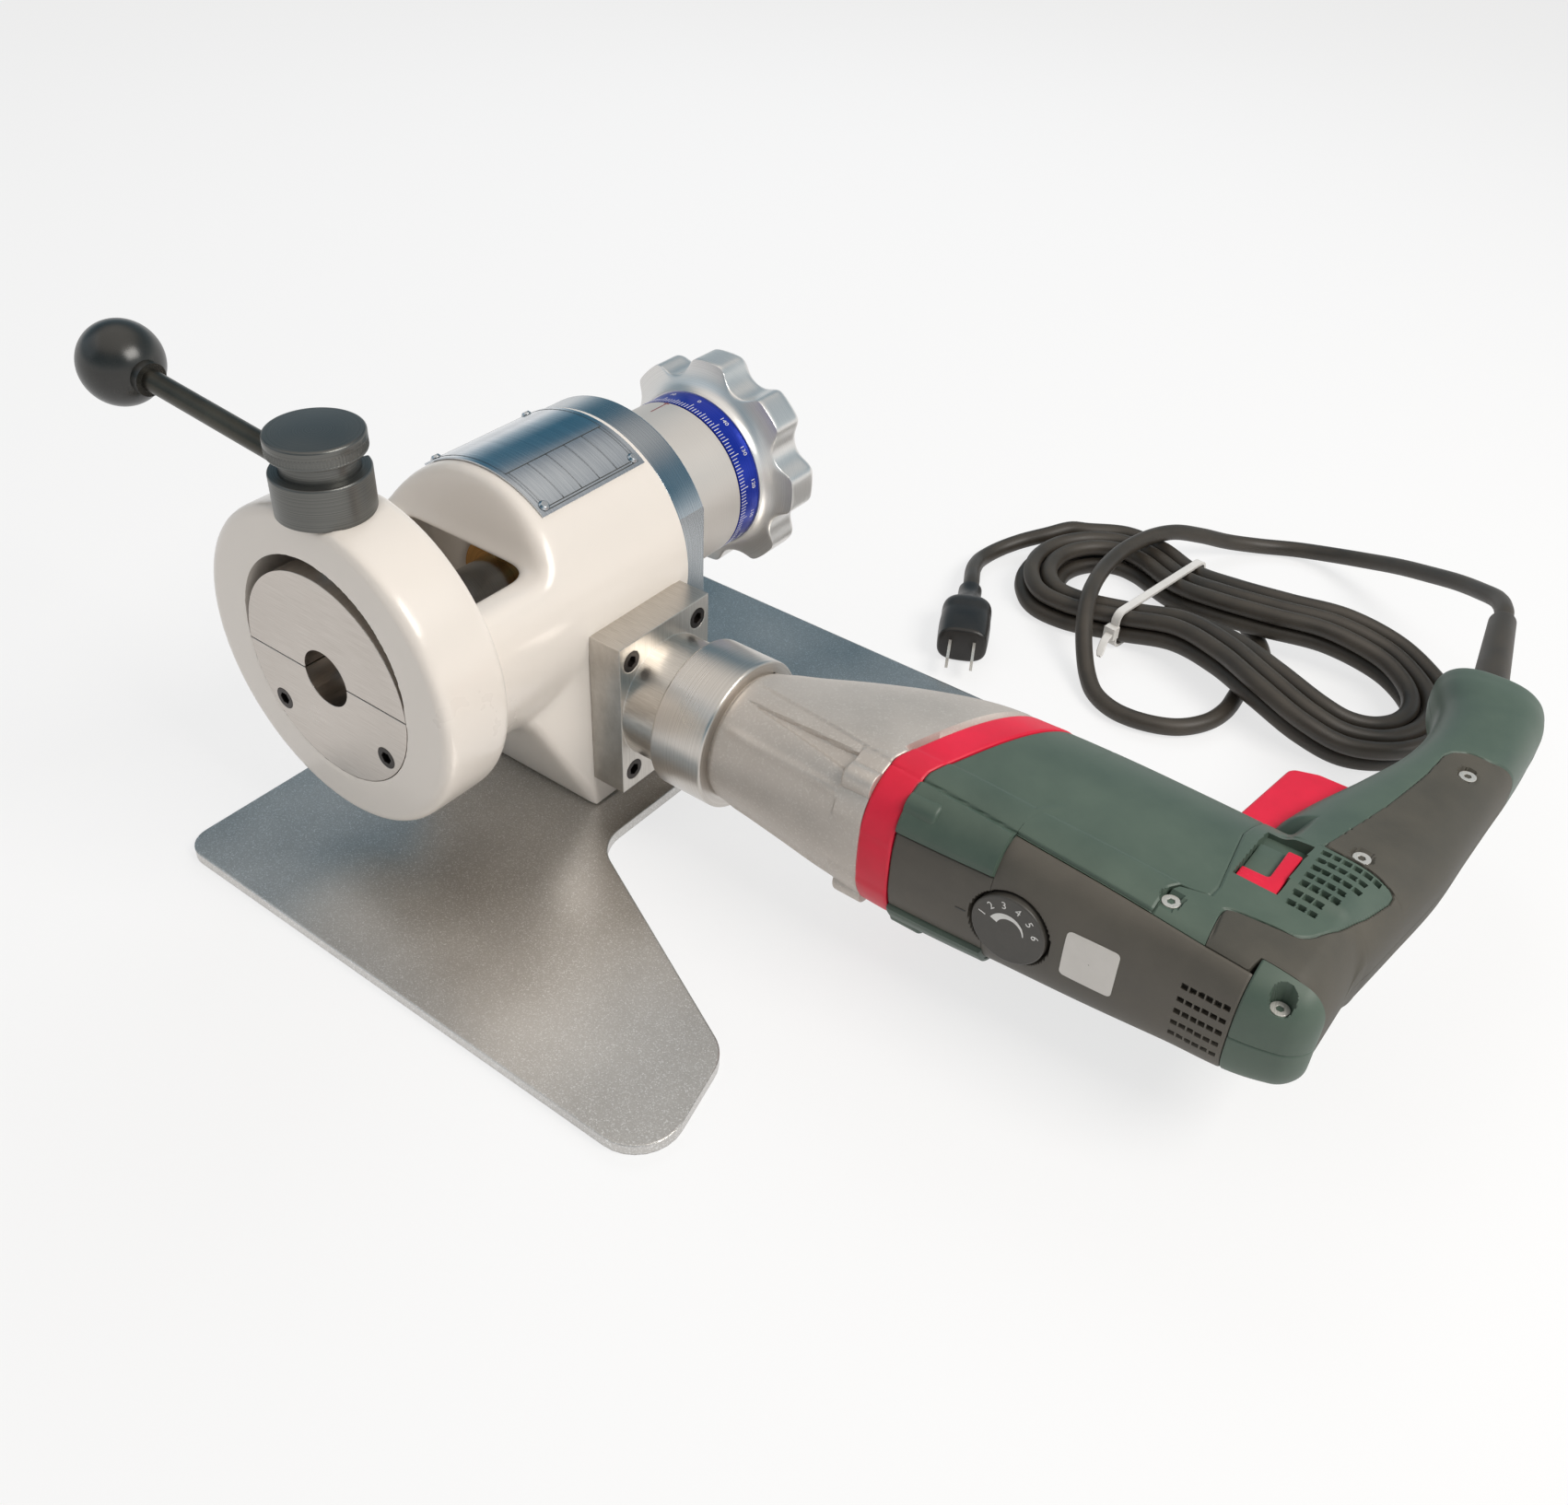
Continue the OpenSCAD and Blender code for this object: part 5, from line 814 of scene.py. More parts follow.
# rear cap: the skin runs in on a quarter round at the end, and closes on the flat behind it
def makeRearCap():
    v = drillSet
    s = denseRows(60, 26.0)[:, None]
    s = 1 - (1 - s) ** 1.6
    u = np.linspace(-1, 1, 180)[None]
    x = v["cap"] + v["gap"] + s * (v["end"] - v["cap"] - v["gap"]) + 0 * u
    drop = v["capRound"] * (1 - roundEnd(x, v["end"], v["capRound"]))
    b = np.full(x.shape, 2.0)
    for _ in range(12):
        b = np.arccos(np.clip((v["coverEdge"] - v["gap"] - v["y"]) / (bodyRadius(x, b) - drop), -1, 1))
    phi = np.pi + u * (np.pi - b)
    r = bodyRadius(x, phi) - drop + edgeDip(x - v["cap"])
    r = r - 0.5 * np.exp(-((r * np.sin(phi)) / 0.4) ** 2)
    outer = bodyPoints(x, phi, r)
    outer[..., 2] = screwSeat(outer[..., 0], outer[..., 1], outer[..., 2])
    inner = outer.copy()
    inner[..., 1] = v["coverEdge"] - v["gap"]
    piece = addPiece("rearCap", [shellPart(outer, inner)], finish["greenPlastic"], "root", 34)
    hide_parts("rear_cap")


makeGearHousing()
makeTrimBand()
makeMotorHousing()
makeDialCover()
makeRearCap()
print("drill housings made")

# handle and grips: half thickness over the plan is a high-power mean of the drill's rounded end and the handle, whose
# middle, depth and width come from a table along it; rows run along Y and columns from the front edge to the rear
handleSet = {
    "from": 150.0, "to": 357.0, "depth": 20.0, "width": 20.5, "square": 2.6, "join": 10.0, "tipRound": 9.0,
    "form": [(0.00, -32.5, 1.70, 1.30), (0.15, -26.5, 1.60, 1.25), (0.31, -20.5, 1.50, 1.14),
             (0.46, -14.5, 1.25, 1.06), (0.60, -9.5, 1.05, 1.02), (0.72, -7.5, 1.00, 1.00), (0.83, -8.5, 1.05, 1.00),
             (0.92, -12.5, 1.20, 0.97),
             (0.97, -15.0, 1.15, 0.88), (1.00, -16.5, 0.95, 0.72)],
    "gripEdge": [(109, 334.4), (118, 333), (121, 333), (122.3, 335), (123.1, 338), (124, 346), (125.5, 357.4),
                 (127.5, 360.5), (130.5, 362.7), (141, 367.9), (156.1, 372.6), (172.6, 376.3), (176.5, 376.3),
                 (177.7, 374.8), (178.4, 361), (179.3, 350), (180.1, 347.5), (181.5, 347.8), (223.7, 357.4),
                 (254, 362.3), (272.6, 363.8), (277, 366), (280.6, 371.9), (281.7, 379.8), (286, 385),
                 (290.3, 389.7), (292, 396)],
    "gripTo": 290.0, "seam": 0.12, "vents": (349.8, 175.0, 4.0, 5.8), "slider": (327.6, 344.4, 140.6, 175.9, 82.9),
    "trigger": (311.0, 351.0, 196.6, 244.4, 9.3)}


def handleShape(y):
    v = handleSet
    g = smoothTable(v["form"], (y - v["from"]) / (v["to"] - v["from"]))
    tip = roundEnd(y, v["to"], v["tipRound"])
    return drillSet["end"] + g[..., 0], v["depth"] * g[..., 1] * (0.25 + 0.75 * tip), v["width"] * g[..., 2] * tip


def rearHalf(x, y):
    d, v = drillSet, handleSet
    body = (bodySkin(x, y) - d["z"]) * roundEnd(x, d["end"], d["endRound"])
    mid, depth, width = handleShape(y)
    hold = width * np.clip(1 - np.clip(abs(x - mid) / depth, 0, 1) ** v["square"], 0, 1) ** (1 / v["square"])
    hold = hold * smoothStep(128, 152, y) * np.maximum(smoothStep(0, 16, x - seamEdge(y)), smoothStep(184, 200, y))
    return (body ** v["join"] + hold ** v["join"] + 1e-9) ** (1 / v["join"])


def rearFront(y):
    mid, depth = handleShape(y)[:2]
    return np.where(y < 194, seamEdge(y), mid - depth)


def rearBack(y):
    mid, depth = handleShape(y)[:2]
    return drillSet["end"] + (mid + depth - drillSet["end"]) * smoothStep(140, 156, y)


def gripFront(y):
    e = np.array(handleSet["gripEdge"], float)
    return np.minimum(np.interp(y, e[:, 0], e[:, 1]), rearBack(y))


# distance in plan to the grip's edge line
def gripDistance(x, y):
    e = np.array(handleSet["gripEdge"], float)[:-1]
    line = np.stack([np.interp(np.linspace(0, len(e) - 1, 260), np.arange(len(e)), e[:, k]) for k in (1, 0)], -1)
    best = np.full(x.shape, 99.0)
    for p in line:
        best = np.minimum(best, np.hypot(x - p[0], y - p[1]))
    return best


# vent slots: a square grid of short holes behind the slider, bounded by the grip's edge
def ventSlots(x, y):
    x0, y0, stepX, stepY = handleSet["vents"]
    cell, row = (x - x0) / stepX, (y0 - y) / stepY
    inside = (np.round(cell) >= 0) & (np.round(row) >= 0) & (np.round(row) <= 6)
    inside &= x0 + stepX * np.round(cell) < 371.5 - 0.36 * (y0 - y)
    return inside & (abs(cell - np.round(cell)) < 0.34) & (abs(row - np.round(row)) < 0.24)


def rearRows(y0, y1):
    y = np.concatenate([np.arange(y0, y1, 1.5), np.arange(119, 127, 0.3), np.arange(132, 182, 0.45),
                        np.arange(194, 200, 0.5), np.arange(270, 292, 0.6),
                        handleSet["to"] - handleSet["tipRound"] * (1 - np.cos(np.linspace(0, np.pi / 2, 16)))])
    return np.unique(np.round(y[(y >= y0) & (y < y1)], 3).tolist() + [y1])


def rearPiece(name, node, y0, y1, low, high, count, upper, finishName, raised):
    d, v = drillSet, handleSet
    y = rearRows(y0, y1)[:, None]
    t = np.linspace(0, 1, count)[None]
    t = 0.5 * t + 0.25 * (1 - np.cos(np.pi * t))
    a, b = low(y), high(y)
    x = a + t * np.maximum(b - a, 0.02)
    rim = y - y0 + 0 * x
    drop = np.maximum(y0 - coverLine(x) - 0.3, 0) * (1 - smoothStep(350.3, 352.3, x))
    y = y - drop * (1 - smoothStep(0, 16, rim))
    h = rearHalf(x, y)
    h = h + raised + edgeDip(gripDistance(x, y), 0.6 + raised, 0.9) + edgeDip(np.where(y < 194, x - seamEdge(y), 9.0))
    h = h + edgeDip(rim)
    if finishName == "greenPlastic":
        h = h - 2.4 * ventSlots(x, y)
    if upper:
        sx0, sx1, sy0, sy1, sz = v["slider"]
        inside = (x > sx0) & (x < sx1) & (y > sy0) & (y < sy1)
        h = np.where(inside & (finishName == "greenPlastic"), np.minimum(h, sz - d["z"]), h)
        for px, py, top in d["screws"]:
            h = np.where(np.hypot(x - px, y - py) < d["screwRadius"] + 0.9, np.minimum(h, top - d["z"] - 0.52), h)
    h = np.maximum(h, 0.0)
    tx0, tx1, ty0, ty1, tz = v["trigger"]
    inTrigger = (x > tx0) & (x < tx1) & (y > ty0) & (y < ty1)
    floor = np.where(inTrigger, np.clip(np.minimum(tz, h - 0.6), 0, None), 0.0)
    sign = 1 if upper else -1
    outer = np.stack([x, y, d["z"] + sign * (v["seam"] + h)], -1)
    inner = np.stack([x, y, d["z"] + sign * (v["seam"] + floor)], -1)
    piece = addPiece(name, [shellPart(outer, inner)], finish[finishName], "root", 34)
    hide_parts(node)


for upper, word in ((True, "Upper"), (False, "Lower")):
    rearPiece("handle" + word, "handle_" + word.lower(), drillSet["coverEdge"] + drillSet["gap"],
              handleSet["to"] - 0.02, rearFront, lambda y: gripFront(y) - handleSet["seam"], 96, upper,
              "greenPlastic", 0.0)
    rearPiece("grip" + word, "grip_" + word.lower(), drillSet["coverEdge"] + drillSet["gap"],
              handleSet["gripTo"], lambda y: gripFront(y) + handleSet["seam"], rearBack, 72, upper,
              "gripRubber", 0.25)
print("handle made")

# casting: the part's own solid, merged and remeshed evenly, then each point is drawn towards the mean of its
# neighbours, most under the bridge and round the window, least at the machined mouth, foot and drive pad
castingSet = {"voxel": 1.5, "passes": 30, "mouth": 50.0, "axis": (0.0, barrelAxis), "padX": 57.0, "barrel": 57.98,
              "rear": 157.45, "travel": 7, "open": 47.3, "deep": 28.0}


def makeCasting(v):
    mesh = nodes["body_casting"].data.copy()
    bm = bmesh.new()
    bm.from_mesh(mesh)
    bmesh.ops.remove_doubles(bm, verts=bm.verts, dist=1e-6)
    bm.to_mesh(mesh)
    bm.free()
    source = bpy.data.objects.new("castingSource", mesh)
    bpy.context.scene.collection.objects.link(source)
    even = source.modifiers.new("even", "REMESH")
    even.mode, even.voxel_size = "VOXEL", v["voxel"] * mm
    done = bpy.data.meshes.new_from_object(source.evaluated_get(bpy.context.evaluated_depsgraph_get()))
    p = np.empty(len(done.vertices) * 3, np.float32)
    done.vertices.foreach_get("co", p)
    p = p.reshape(-1, 3).astype(float) / mm
    e = np.empty(len(done.edges) * 2, np.int32)
    done.edges.foreach_get("vertices", e)
    a, b = np.concatenate([e[0::2], e[1::2]]), np.concatenate([e[1::2], e[0::2]])
    count = np.bincount(a, minlength=len(p))[:, None]
    low, high = v["axis"][1], v["axis"][1] + v["travel"]
    away = np.hypot(p[:, 0], p[:, 2] - np.clip(p[:, 2], low, high))
    share = 0.05 + 0.45 * smoothStep(33, 37, p[:, 1]) * smoothStep(6, 12, p[:, 2])
    share *= 1 - 0.8 * (1 - smoothStep(0, 4, abs(p[:, 0] - v["padX"]))) * smoothStep(90, 94, p[:, 1])
    share *= 1 - 0.85 * smoothStep(151, 155, p[:, 1])
    share = np.where((p[:, 1] < 32) & (away < v["mouth"]), 0.05, share)[:, None]
    for _ in range(v["passes"]):
        mean = np.stack([np.bincount(a, p[b, k], len(p)) for k in range(3)], -1) / count
        p += share * (mean - p)
    middle = np.clip(p[:, 2], low, high)
    away = np.hypot(p[:, 0], p[:, 2] - middle)
    scale = np.where((p[:, 1] < v["deep"] + 0.8) & (abs(away - v["open"]) < 1.7), (v["open"] + 0.05) / away, 1.0)
    p[:, 0] *= scale
    p[:, 2] = middle + (p[:, 2] - middle) * scale
    near = np.where(abs(away - v["open"]) < 1.8, 2.2, 1.5)
    p[:, 1] = np.where((abs(p[:, 1] - v["deep"]) < near) & (away < v["open"] + 1.1), v["deep"] + 0.05, p[:, 1])
    away = np.hypot(p[:, 0], p[:, 2] - v["axis"][1])
    rear = (p[:, 1] > 148) & (abs(away - v["barrel"]) < 1.6)
    scale = np.where(rear, v["barrel"] / away, 1.0)
    p[:, 0] *= scale
    p[:, 2] = v["axis"][1] + (p[:, 2] - v["axis"][1]) * scale
    p[:, 1] = np.where(p[:, 1] > v["rear"] - 1.2, v["rear"], p[:, 1])
    faces = [list(f.vertices) for f in done.polygons]
    bpy.data.objects.remove(source)
    piece = addPiece("bodyCasting", [(p, faces)], finish["enamel"], "root", 50)
    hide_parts("body_casting")


makeCasting(castingSet)
print("casting made")

# cap: turned profile whose lower side carries a fine knurl, a ripple of the radius round the axis
capSet = {"centre": (0.0, 14.0, 197.9), "radius": 19.0, "height": 7.95, "knurl": (1.2, 4.4), "deep": 0.3, "teeth": 90,
          "pin": (4.0, -5.3)}


def makeCap(v):
    r, h = v["radius"], v["height"]
    pin, foot = v["pin"]
    prof = roundedProfile([(pin, foot, 0), (pin, 0, 0), (r, 0, 1.0), (r, h, 1.2), (0.01, h, 0)])
    rows = [prof[:-8]] + [np.array([[r, z]]) for z in (1.25, 1.5, 4.1, 4.35, 4.6)] + [prof[-8:]]
    prof = np.concatenate([[[0.01, foot]]] + rows)
    points, faces = turnedPart(prof, v["centre"], (0, 0, 1), v["teeth"] * 6)
    points = np.asarray(points).reshape(len(prof), -1, 3)
    t = np.arange(points.shape[1]) * 2 * np.pi / points.shape[1]
    inBand = ((prof[:, 1] > v["knurl"][0]) & (prof[:, 1] < v["knurl"][1]) & (prof[:, 0] > r - 0.1))[:, None]
    shrink = 1 - inBand * v["deep"] * (0.5 - 0.5 * np.cos(v["teeth"] * t + 9 * prof[:, 1:2])) / r
    mid = np.array(v["centre"])
    points[..., :2] = mid[:2] + (points[..., :2] - mid[:2]) * shrink[..., None]
    piece = addPiece("clampCap", [(points, faces)], finish["gunmetal"], "cap", 40)
    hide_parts("clamp_cap")


makeCap(capSet)

# feed knob: star curve of lobes and round valleys, softened round the turn; in front the radius is held below a
# concave flare from the scale ring, behind the rim is rounded and the end face has a round recess
knobSet = {"y": 233.45, "thick": 27.9, "radius": 53.9, "lobes": 8, "valley": 13.0, "valleyAt": 59.0, "neck": 40.2,
           "flare": (14.5, 8.0), "round": 5.0, "recess": (28.0, 4.0), "axis": barrelAxis, "sides": 576}


def makeKnob(v):
    t = np.linspace(0, 2 * np.pi, v["sides"], endpoint=False)
    step = 2 * np.pi / v["lobes"]
    off = (t % step) - step / 2
    inside = np.clip(v["valley"] ** 2 - (v["valleyAt"] * np.sin(off)) ** 2, 0, None)
    star = np.where(inside > 0, np.minimum(v["radius"], v["valleyAt"] * np.cos(off) - np.sqrt(inside)), v["radius"])
    wave = np.fft.rfft(star)
    star = np.fft.irfft(wave * np.exp(-0.5 * (np.arange(len(wave)) * 0.033) ** 2), v["sides"])
    s = np.linspace(0, np.pi / 2, 14)
    y0, y1 = v["y"], v["y"] + v["thick"]
    flareR = v["neck"] + v["flare"][0] * (1 - np.cos(s))
    flareY = y0 + v["flare"][1] * np.sin(s)
    rows = [(np.full_like(t, 0.02), y0), (np.full_like(t, v["neck"] - 1), y0)]
    soft = 1.5
    rows += [(-np.log(np.exp(-soft * (r - 40)) + np.exp(-soft * (star - 40))) / soft + 40, y)
             for r, y in zip(flareR, flareY)]
    rows += [(star, y) for y in np.linspace(flareY[-1] + 0.6, y1 - v["round"], 8)]
    rows += [(star - v["round"] * (1 - np.cos(a)), y1 - v["round"] * (1 - np.sin(a))) for a in s[1:]]
    rim, (hole, deep) = star - v["round"], v["recess"]
    rows += [(rim + (hole + 1 - rim) * k, y1) for k in (0.35, 0.7, 1.0)]
    rows += [(np.full_like(t, hole + 0.3), y1 - 0.1), (np.full_like(t, hole), y1 - 0.8),
             (np.full_like(t, hole), y1 - deep), (np.full_like(t, hole * 0.5), y1 - deep),
             (np.full_like(t, 0.02), y1 - deep)]
    points = np.stack([np.stack([r * np.sin(t), np.full_like(t, y), v["axis"] + r * np.cos(t)], -1) for r, y in rows])
    piece = addPiece("feedKnob", [(points, gridQuads(len(rows), v["sides"], False, True))], finish["knobAluminium"],
                     "feed_wheel", 38)
    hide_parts("feed_knob")


makeKnob(knobSet)
print("cap and knob made")


# flat shapes as thin plates: points (u, v, height) laid on a surface by a placing function
def platePart(outline, place, thick=0.06, split=1):
    o = np.asarray(outline, float)
    if split > 1:
        k = np.arange(split)[None, :, None] / split
        o = (o[:, None] * (1 - k) + np.roll(o, -1, 0)[:, None] * k).reshape(-1, 2)
    n = len(o)
    flat = np.concatenate([np.c_[o, np.zeros(n)], np.c_[o, np.full(n, thick)]])
    side = np.arange(n)
    walls = np.stack([side, (side + 1) % n, (side + 1) % n + n, side + n], -1).tolist()
    return place(flat), [list(range(n))[::-1], list(range(n, 2 * n))] + walls


def barPart(u0, v0, u1, v1, place, thick=0.06, split=1):
    return platePart([(u0, v0), (u1, v0), (u1, v1), (u0, v1)], place, thick, split)


# numerals: the program's own plain font as a mesh, centred, of a given height
def digitsPart(text, size, place, thick=0.06):
    curve = bpy.data.curves.new("digits", "FONT")
    curve.body, curve.size, curve.extrude, curve.resolution_u = text, size, thick / 2, 3
    curve.align_x, curve.align_y = "CENTER", "CENTER"
    obj = bpy.data.objects.new("digits", curve)
    bpy.context.scene.collection.objects.link(obj)
    mesh = bpy.data.meshes.new_from_object(obj.evaluated_get(bpy.context.evaluated_depsgraph_get()))
    points = np.array([list(q.co) for q in mesh.vertices]) + np.array([0, 0, thick / 2])
    faces = [list(f.vertices) for f in mesh.polygons]
    bpy.data.objects.remove(obj)
    bpy.data.meshes.remove(mesh)
    return place(points), faces


# laying on a cylinder along Y: u runs round it from an angle, v along it
def onRing(angle, y, radius):
    def place(q):
        a = math.radians(angle) + q[:, 0] / radius
        r = radius + q[:, 2]
        return np.stack([r * np.sin(a), y + q[:, 1], barrelAxis + r * np.cos(a)], -1)
    return place


# scale: ten ticks to a numeral, longer at each fifth and tenth, and the red index line on the sleeve
scaleSet = {"radius": 39.52, "front": 220.1, "numbers": 15, "first": 7.1, "spacing": 24.0, "digitY": 231.0,
            "digit": 3.4, "index": (-8.2, 206.4, 218.8)}


def makeScale(v):
    parts = []
    for k in range(v["numbers"] * 10):
        length = 5.4 if k % 10 == 0 else 4.4 if k % 5 == 0 else 3.4
        place = onRing(v["first"] + k * v["spacing"] / 10, v["front"], v["radius"])
        parts.append(barPart(-0.16, 0, 0.16, length, place))
    for k in range(v["numbers"]):
        parts.append(digitsPart(str((v["numbers"] - k) % v["numbers"] * 10), v["digit"],
                                onRing(v["first"] + k * v["spacing"], v["digitY"] - 1.4, v["radius"])))
    addPiece("scaleMarks", parts, finish["whiteMark"], "feed_wheel", 30)
    angle, y0, y1 = v["index"]
    lines = [barPart(-0.3, 0, 0.3, y1 - y0, onRing(angle, y0, v["radius"])),
             barPart(-1.6, 0, 1.6, 0.6, onRing(angle, y1 - 1.2, v["radius"]), split=4)]
    addPiece("indexLine", lines, finish["redMark"], "root", 30)


makeScale(scaleSet)

# name plate: engraved frame and blank fields, thin dark lines on the bent sheet
plateLines = {"radius": 58.82, "y": (94.5, 152.5), "edge": 35.2, "fields": (12.0, 34.0), "columns": 6, "wide": 0.22}


def makePlateLines(v):
    r, w = v["radius"], v["wide"]
    mmPerDeg = math.radians(1) * r
    y0, y1 = v["y"]
    parts = [barPart(-w, 0, w, y1 - y0, onRing(a, y0, r)) for a in (-v["edge"], *v["fields"], v["edge"])]
    u0, u1 = v["fields"][0] * mmPerDeg, v["fields"][1] * mmPerDeg
    for y in np.linspace(y0 + 1.5, y1 - 1.5, v["columns"]):
        parts.append(barPart(u0, -w, u1, w, onRing(0, y, r), split=12))
    for y in (y0, y1):
        parts.append(barPart(-v["edge"] * mmPerDeg, -w, v["edge"] * mmPerDeg, w, onRing(0, y, r), split=24))
    addPiece("plateLines", parts, finish["engraved"], "root", 30)


makePlateLines(plateLines)

# speed dial: numerals on a circle and a white crescent that grows round the hub, on the face towards -Y
dialSet = {"x": 267.5, "y": 90.17, "z": 61.0, "ring": 11.4, "digit": 4.6, "first": -75.0, "spacing": 30.0,
           "crescent": (4.9, 8.1, -70.0, 85.0), "label": (289.6, 310.2, 52.0, 73.6), "tick": (245.2, 249.6, 59.7)}


def makeDialMarks(v):
    def place(q):
        return np.stack([v["x"] + q[:, 0], v["y"] - q[:, 2], v["z"] + q[:, 1]], -1)

    def turned(angle, radius):
        c, s = math.cos(math.radians(angle)), math.sin(math.radians(angle))

        def put(q):
            x, z = q[:, 0], q[:, 1] + radius
            return place(np.stack([x * c + z * s, z * c - x * s, q[:, 2]], -1))
        return put

    parts = [digitsPart(str(k + 1), v["digit"], turned(v["first"] + k * v["spacing"], v["ring"])) for k in range(6)]
    r0, r1, a0, a1 = v["crescent"]
    a = np.radians(np.linspace(a0, a1, 40))
    grow = np.linspace(1.0, 0.12, 40)
    mid = (r0 + r1) / 2
    outer, inner = mid + grow * (r1 - r0) / 2, mid - grow * (r1 - r0) / 2
    rim = np.concatenate([np.stack([outer * np.sin(a), outer * np.cos(a)], -1),
                          np.stack([inner * np.sin(a), inner * np.cos(a)], -1)[::-1]])
    n = len(a)
    strip = np.concatenate([rim, rim])
    flat = place(np.c_[strip, np.repeat([0.0, 0.06], 2 * n)])
    i = np.arange(n - 1)
    top = np.stack([i, i + 1, 2 * n - 2 - i, 2 * n - 1 - i], -1)
    side = np.arange(2 * n)
    wall = np.stack([side, (side + 1) % (2 * n), (side + 1) % (2 * n) + 2 * n, side + 2 * n], -1)
    parts.append((flat, np.concatenate([top, top[:, ::-1] + 2 * n, wall]).tolist()))
    addPiece("dialMarks", parts, finish["whiteMark"], "dial", 30)

    def onCover(q):
        size = bodySize(q[:, 0])
        drop = (1 - np.clip(abs(q[:, 1] - drillSet["z"]) / size[:, 2], 0, 1) ** size[:, 3]) ** (1 / size[:, 3])
        return np.stack([q[:, 0], drillSet["y"] - size[:, 0] * drop - 0.1 - q[:, 2], q[:, 1]], -1)
    c = np.array(v["label"])
    corners = [(c[0], c[2], 2.0), (c[1], c[2], 2.0), (c[1], c[3], 2.0), (c[0], c[3], 2.0)]
    rows = roundedProfile(corners[-1:] + corners + corners[:1], 6)[1:-1]
    rows = smoothPath(np.c_[np.concatenate([rows, rows[:1]]), np.zeros(len(rows) + 1)], 0.7)[:-1, :2]
    ring = [rows.mean(0) + (rows - rows.mean(0)) * s for s in (0.02, 0.25, 0.5, 0.75, 1.0)]
    sheet = np.concatenate([onCover(np.c_[q, np.full(len(q), h)]) for h in (0.12, 0.0)
                            for q in (ring if h else ring[::-1])])
    addPiece("blankLabel", [(sheet, gridQuads(10, len(rows), True, True))], finish["paleLabel"], "root", 40)
    x0, x1, z = v["tick"]
    addPiece("dialTick", [barPart(x0, z - 0.25, x1, z + 0.25, onCover, 0.08, 4)],
             finish["engraved"], "root", 40)


makeDialMarks(dialSet)
print("marks made")


# slab: a rounded outline swept through its thickness, drawn in along its normals at both faces; u, v, w are the
# outline's two directions and the sweep
def slabPart(corners, low, high, edge, place, steps=6):
    c = np.asarray(corners, float)
    o = roundedProfile(np.concatenate([c[-1:], c, c[:1]]), 8)[1:-1]
    t = np.roll(o, -1, 0) - np.roll(o, 1, 0)
    t /= np.linalg.norm(t, axis=1)[:, None]
    inward = np.stack([-t[:, 1], t[:, 0]], -1)
    a = np.linspace(0, np.pi / 2, steps)
    inset = np.concatenate([edge * (1 - np.sin(a)), edge * (1 - np.cos(a))])
    level = np.concatenate([low + edge * (1 - np.cos(a)), high - edge * (1 - np.sin(a))])
    points = np.concatenate([np.c_[o + d * inward, np.full(len(o), w)] for d, w in zip(inset, level)])
    return place(points), stackFaces(2 * steps, len(o))


# trigger and reversing slider, as slabs
triggerSet = {"outline": [(309.55, 197.05, 2.0), (344.45, 197.05, 2.0), (344.45, 243.95, 2.0), (325.5, 243.95, 7.0),
                          (314.5, 240.0, 5.0)], "z": (52.05, 69.95), "edge": 1.6}
sliderSet = {"x": (328.05, 343.95), "y": (141.05, 166.95), "low": 83.4, "floor": 86.2, "high": 88.35, "bar": 5.5}


def makeSwitches(t, s):
    def flat(q):
        return q
    piece = addPiece("trigger", [slabPart(t["outline"], *t["z"], t["edge"], flat)],
                     finish["redPlastic"], "trigger", 40)
    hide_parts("trigger")
    (x0, x1), (y0, y1), b = s["x"], s["y"], s["bar"]
    shape = [(x0, y0, 0.8), (x1, y0, 0.8), (x1, y1, 0.8), (x1 - b, y1, 0.8),
             (x1 - b, y0 + b + 2, 1.5), (x0, y0 + b + 2, 0.8)]
    rib = [(x0 + 0.6, y0 + 3.2, 0.4), (x1 - b - 0.5, y0 + 3.2, 0.4), (x1 - b - 0.5, y0 + 4.4, 0.4),
           (x0 + 0.6, y0 + 4.4, 0.4)]
    raised = addPiece("sliderGrip", [slabPart(shape, s["low"], s["high"], 0.5, flat, 4),
                                     slabPart(rib, s["high"] - 0.6, s["high"] + 0.05, 0.2, flat, 3)],
                      finish["redPlastic"], "slider", 40)
    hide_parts("reverse_slider")
    bed = [(x0, y0 + b + 2.1, 0.4), (x1 - b - 0.1, y0 + b + 2.1, 0.4), (x1 - b - 0.1, y1, 0.4), (x0, y1, 0.4)]
    addPiece("sliderBed", [slabPart(bed, s["low"], s["floor"], 0.3, flat, 3)],
             finish["greenPlastic"], "slider", 40)


makeSwitches(triggerSet, sliderSet)
print("switches made")


# cord relief: turned sleeve, plain at its foot, then a straight taper to a blunt lip round the cord
reliefSet = {"foot": cordSet["reliefFoot"], "lean": cordSet["reliefLean"], "profile": [
    (0.0, -6.9, 0), (8.1, -6.9, 0.6), (8.1, 6.0, 8.0), (6.3, 73.9, 1.5), (4.75, 73.9, 0.4), (4.65, 70.0, 0),
    (0.0, 70.0, 0)]}


def makeRelief(v):
    a = math.radians(v["lean"])
    part = turnedPart(roundedProfile(v["profile"], 8), v["foot"], (-math.sin(a), math.cos(a), 0.0), 64)
    piece = addPiece("cordRelief", [part], finish["cordRubber"], "root", 40)
    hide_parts("strain_relief")


makeRelief(reliefSet)
print("cord relief made")

# plug: superellipse rings whose half width and half height follow a table along its length, its face's edge rounded
plugSet.update(length=56.0, sides=72, steps=90, edge=2.2, form=[
    (0.00, 6.4, 6.4, 2.0), (0.22, 7.1, 7.1, 2.0), (0.29, 8.6, 8.0, 2.4), (0.37, 11.9, 9.7, 3.0),
    (0.60, 13.4, 10.3, 3.0), (0.94, 13.4, 10.3, 3.0), (1.00, 13.2, 10.2, 3.0)])


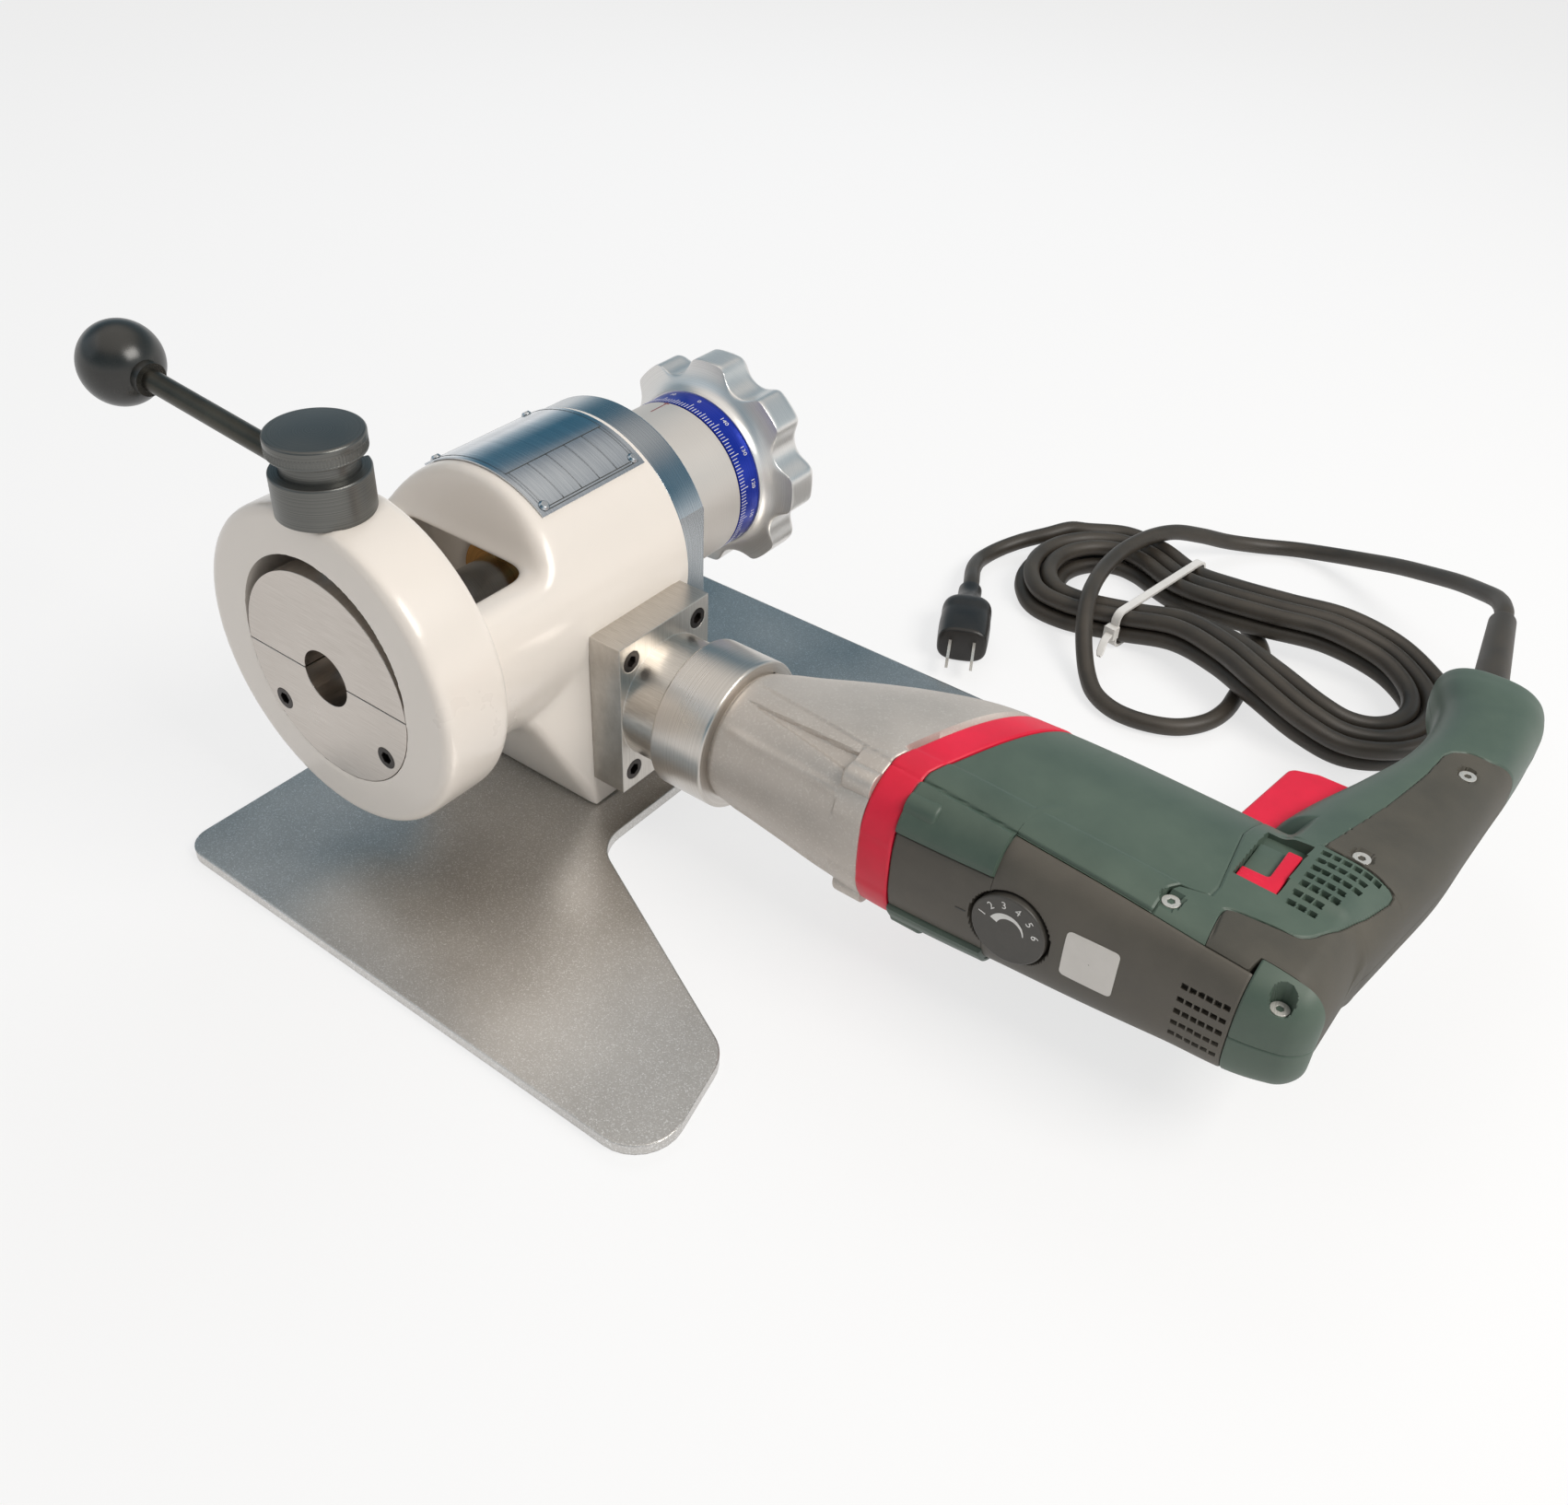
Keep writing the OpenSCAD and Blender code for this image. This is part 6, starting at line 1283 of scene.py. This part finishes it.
def makePlug(v):
    s = np.concatenate([np.linspace(0, 1, v["steps"]), np.ones(7)])
    inset = np.concatenate([np.zeros(v["steps"]), v["edge"] * (1 - np.cos(np.linspace(0.2, np.pi / 2, 7)))])
    along = s * (v["length"] - v["edge"]) + v["edge"] * np.concatenate(
        [np.zeros(v["steps"]), np.sin(np.linspace(0.2, np.pi / 2, 7))])
    f = smoothTable(v["form"], s)
    a = np.linspace(0, 2 * np.pi, v["sides"], endpoint=False)[None]
    power = 2 / f[:, 2:3]
    across = (f[:, 0] - inset)[:, None] * np.sign(np.cos(a)) * abs(np.cos(a)) ** power
    rise = (f[:, 1] - inset)[:, None] * np.sign(np.sin(a)) * abs(np.sin(a)) ** power
    t = math.radians(v["turn"])
    points = (np.array(v["foot"]) + along[:, None, None] * np.array([math.cos(t), math.sin(t), 0.0])
              + across[..., None] * np.array([-math.sin(t), math.cos(t), 0.0])
              + rise[..., None] * np.array([0, 0, 1.0]))
    piece = addPiece("plugBody", [(points, stackFaces(len(s), v["sides"]))], finish["plugBlack"], "root", 40)
    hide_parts("plug")
    return piece


plugBody = makePlug(plugSet)
print("plug made")

# free end of the tie: a flat strip swept along a short bent path out of the buckle
tailSet = {"path": [(177.1, 369.2, 11.5), (178.3, 360.0, 10.8), (180.6, 350.5, 7.2)], "side": (0.990, -0.139, 0.0),
           "width": 4.4, "thick": 1.2}


def makeTieTail(v):
    path = smoothPath(v["path"], 0.6)
    tan = np.gradient(path, axis=0)
    tan /= np.linalg.norm(tan, axis=1)[:, None]
    side = np.array(v["side"])
    up = np.cross(tan, side)
    w, h, c = v["width"] / 2, v["thick"] / 2, 0.25
    ring = np.array([(w, h - c), (w - c, h), (c - w, h), (-w, h - c), (-w, c - h),
                     (c - w, -h), (w - c, -h), (w, c - h)])
    narrow = np.ones((len(path), 1))
    narrow[-5:, 0] = np.linspace(0.95, 0.6, 5)
    points = (path[:, None] + (narrow * ring[None, :, 0])[..., None] * side + ring[None, :, 1:2] * up[:, None])
    return addPiece("tieTail", [(points, stackFaces(len(path), len(ring)))], finish["whiteNylon"], "root", 40)


tieTail = makeTieTail(tailSet)
print("tie end made")

# CAD nodes that keep their shape get a finish
nodeFinish = {
    "blastedPlate": "base_plate",
    "blackOxide": "base_screws jaw_screws end_ring_screws insert_screw flange_screws",
    "enamel": "body_casting",
    "polishedSteel": "nameplate",
    "turnedSteel": "nameplate_rivets jaw_stud end_ring guide_pin feed_screw feed_plunger spindle spindle_nut"
                   " drive_key wheel_bearings worm_shaft worm_bearings drill_spindle",
    "jawSteel": "lower_jaw upper_jaw cutter_head",
    "gunmetal": "clamp_bush clamp_hub clamp_cap",
    "leverSteel": "lever_rod",
    "ballPlastic": "ball_knob",
    "sleeveAluminium": "feed_sleeve",
    "blueAnodised": "scale_ring",
    "knobAluminium": "feed_knob",
    "bronze": "cutting_insert front_bush worm_wheel",
    "flangeAluminium": "drive_flange",
    "collarAluminium": "adapter_collar",
    "gearCase": "gear_housing",
    "redPlastic": "trim_band trigger reverse_slider",
    "greenPlastic": "motor_housing rear_cap handle_upper handle_lower",
    "olivePlastic": "dial_cover",
    "gripRubber": "grip_upper grip_lower",
    "zincScrew": "housing_screws plug_blades",
    "dialBlack": "speed_dial",
    "cordRubber": "strain_relief cord_lead cord_hank cord_tail",
    "plugBlack": "plug",
    "whiteNylon": "cable_tie",
}
for key, names in nodeFinish.items():
    for name in names.split():
        mesh = nodes[name].data
        mesh.materials.clear()
        mesh.materials.append(finish[key])
print("CAD nodes finished")
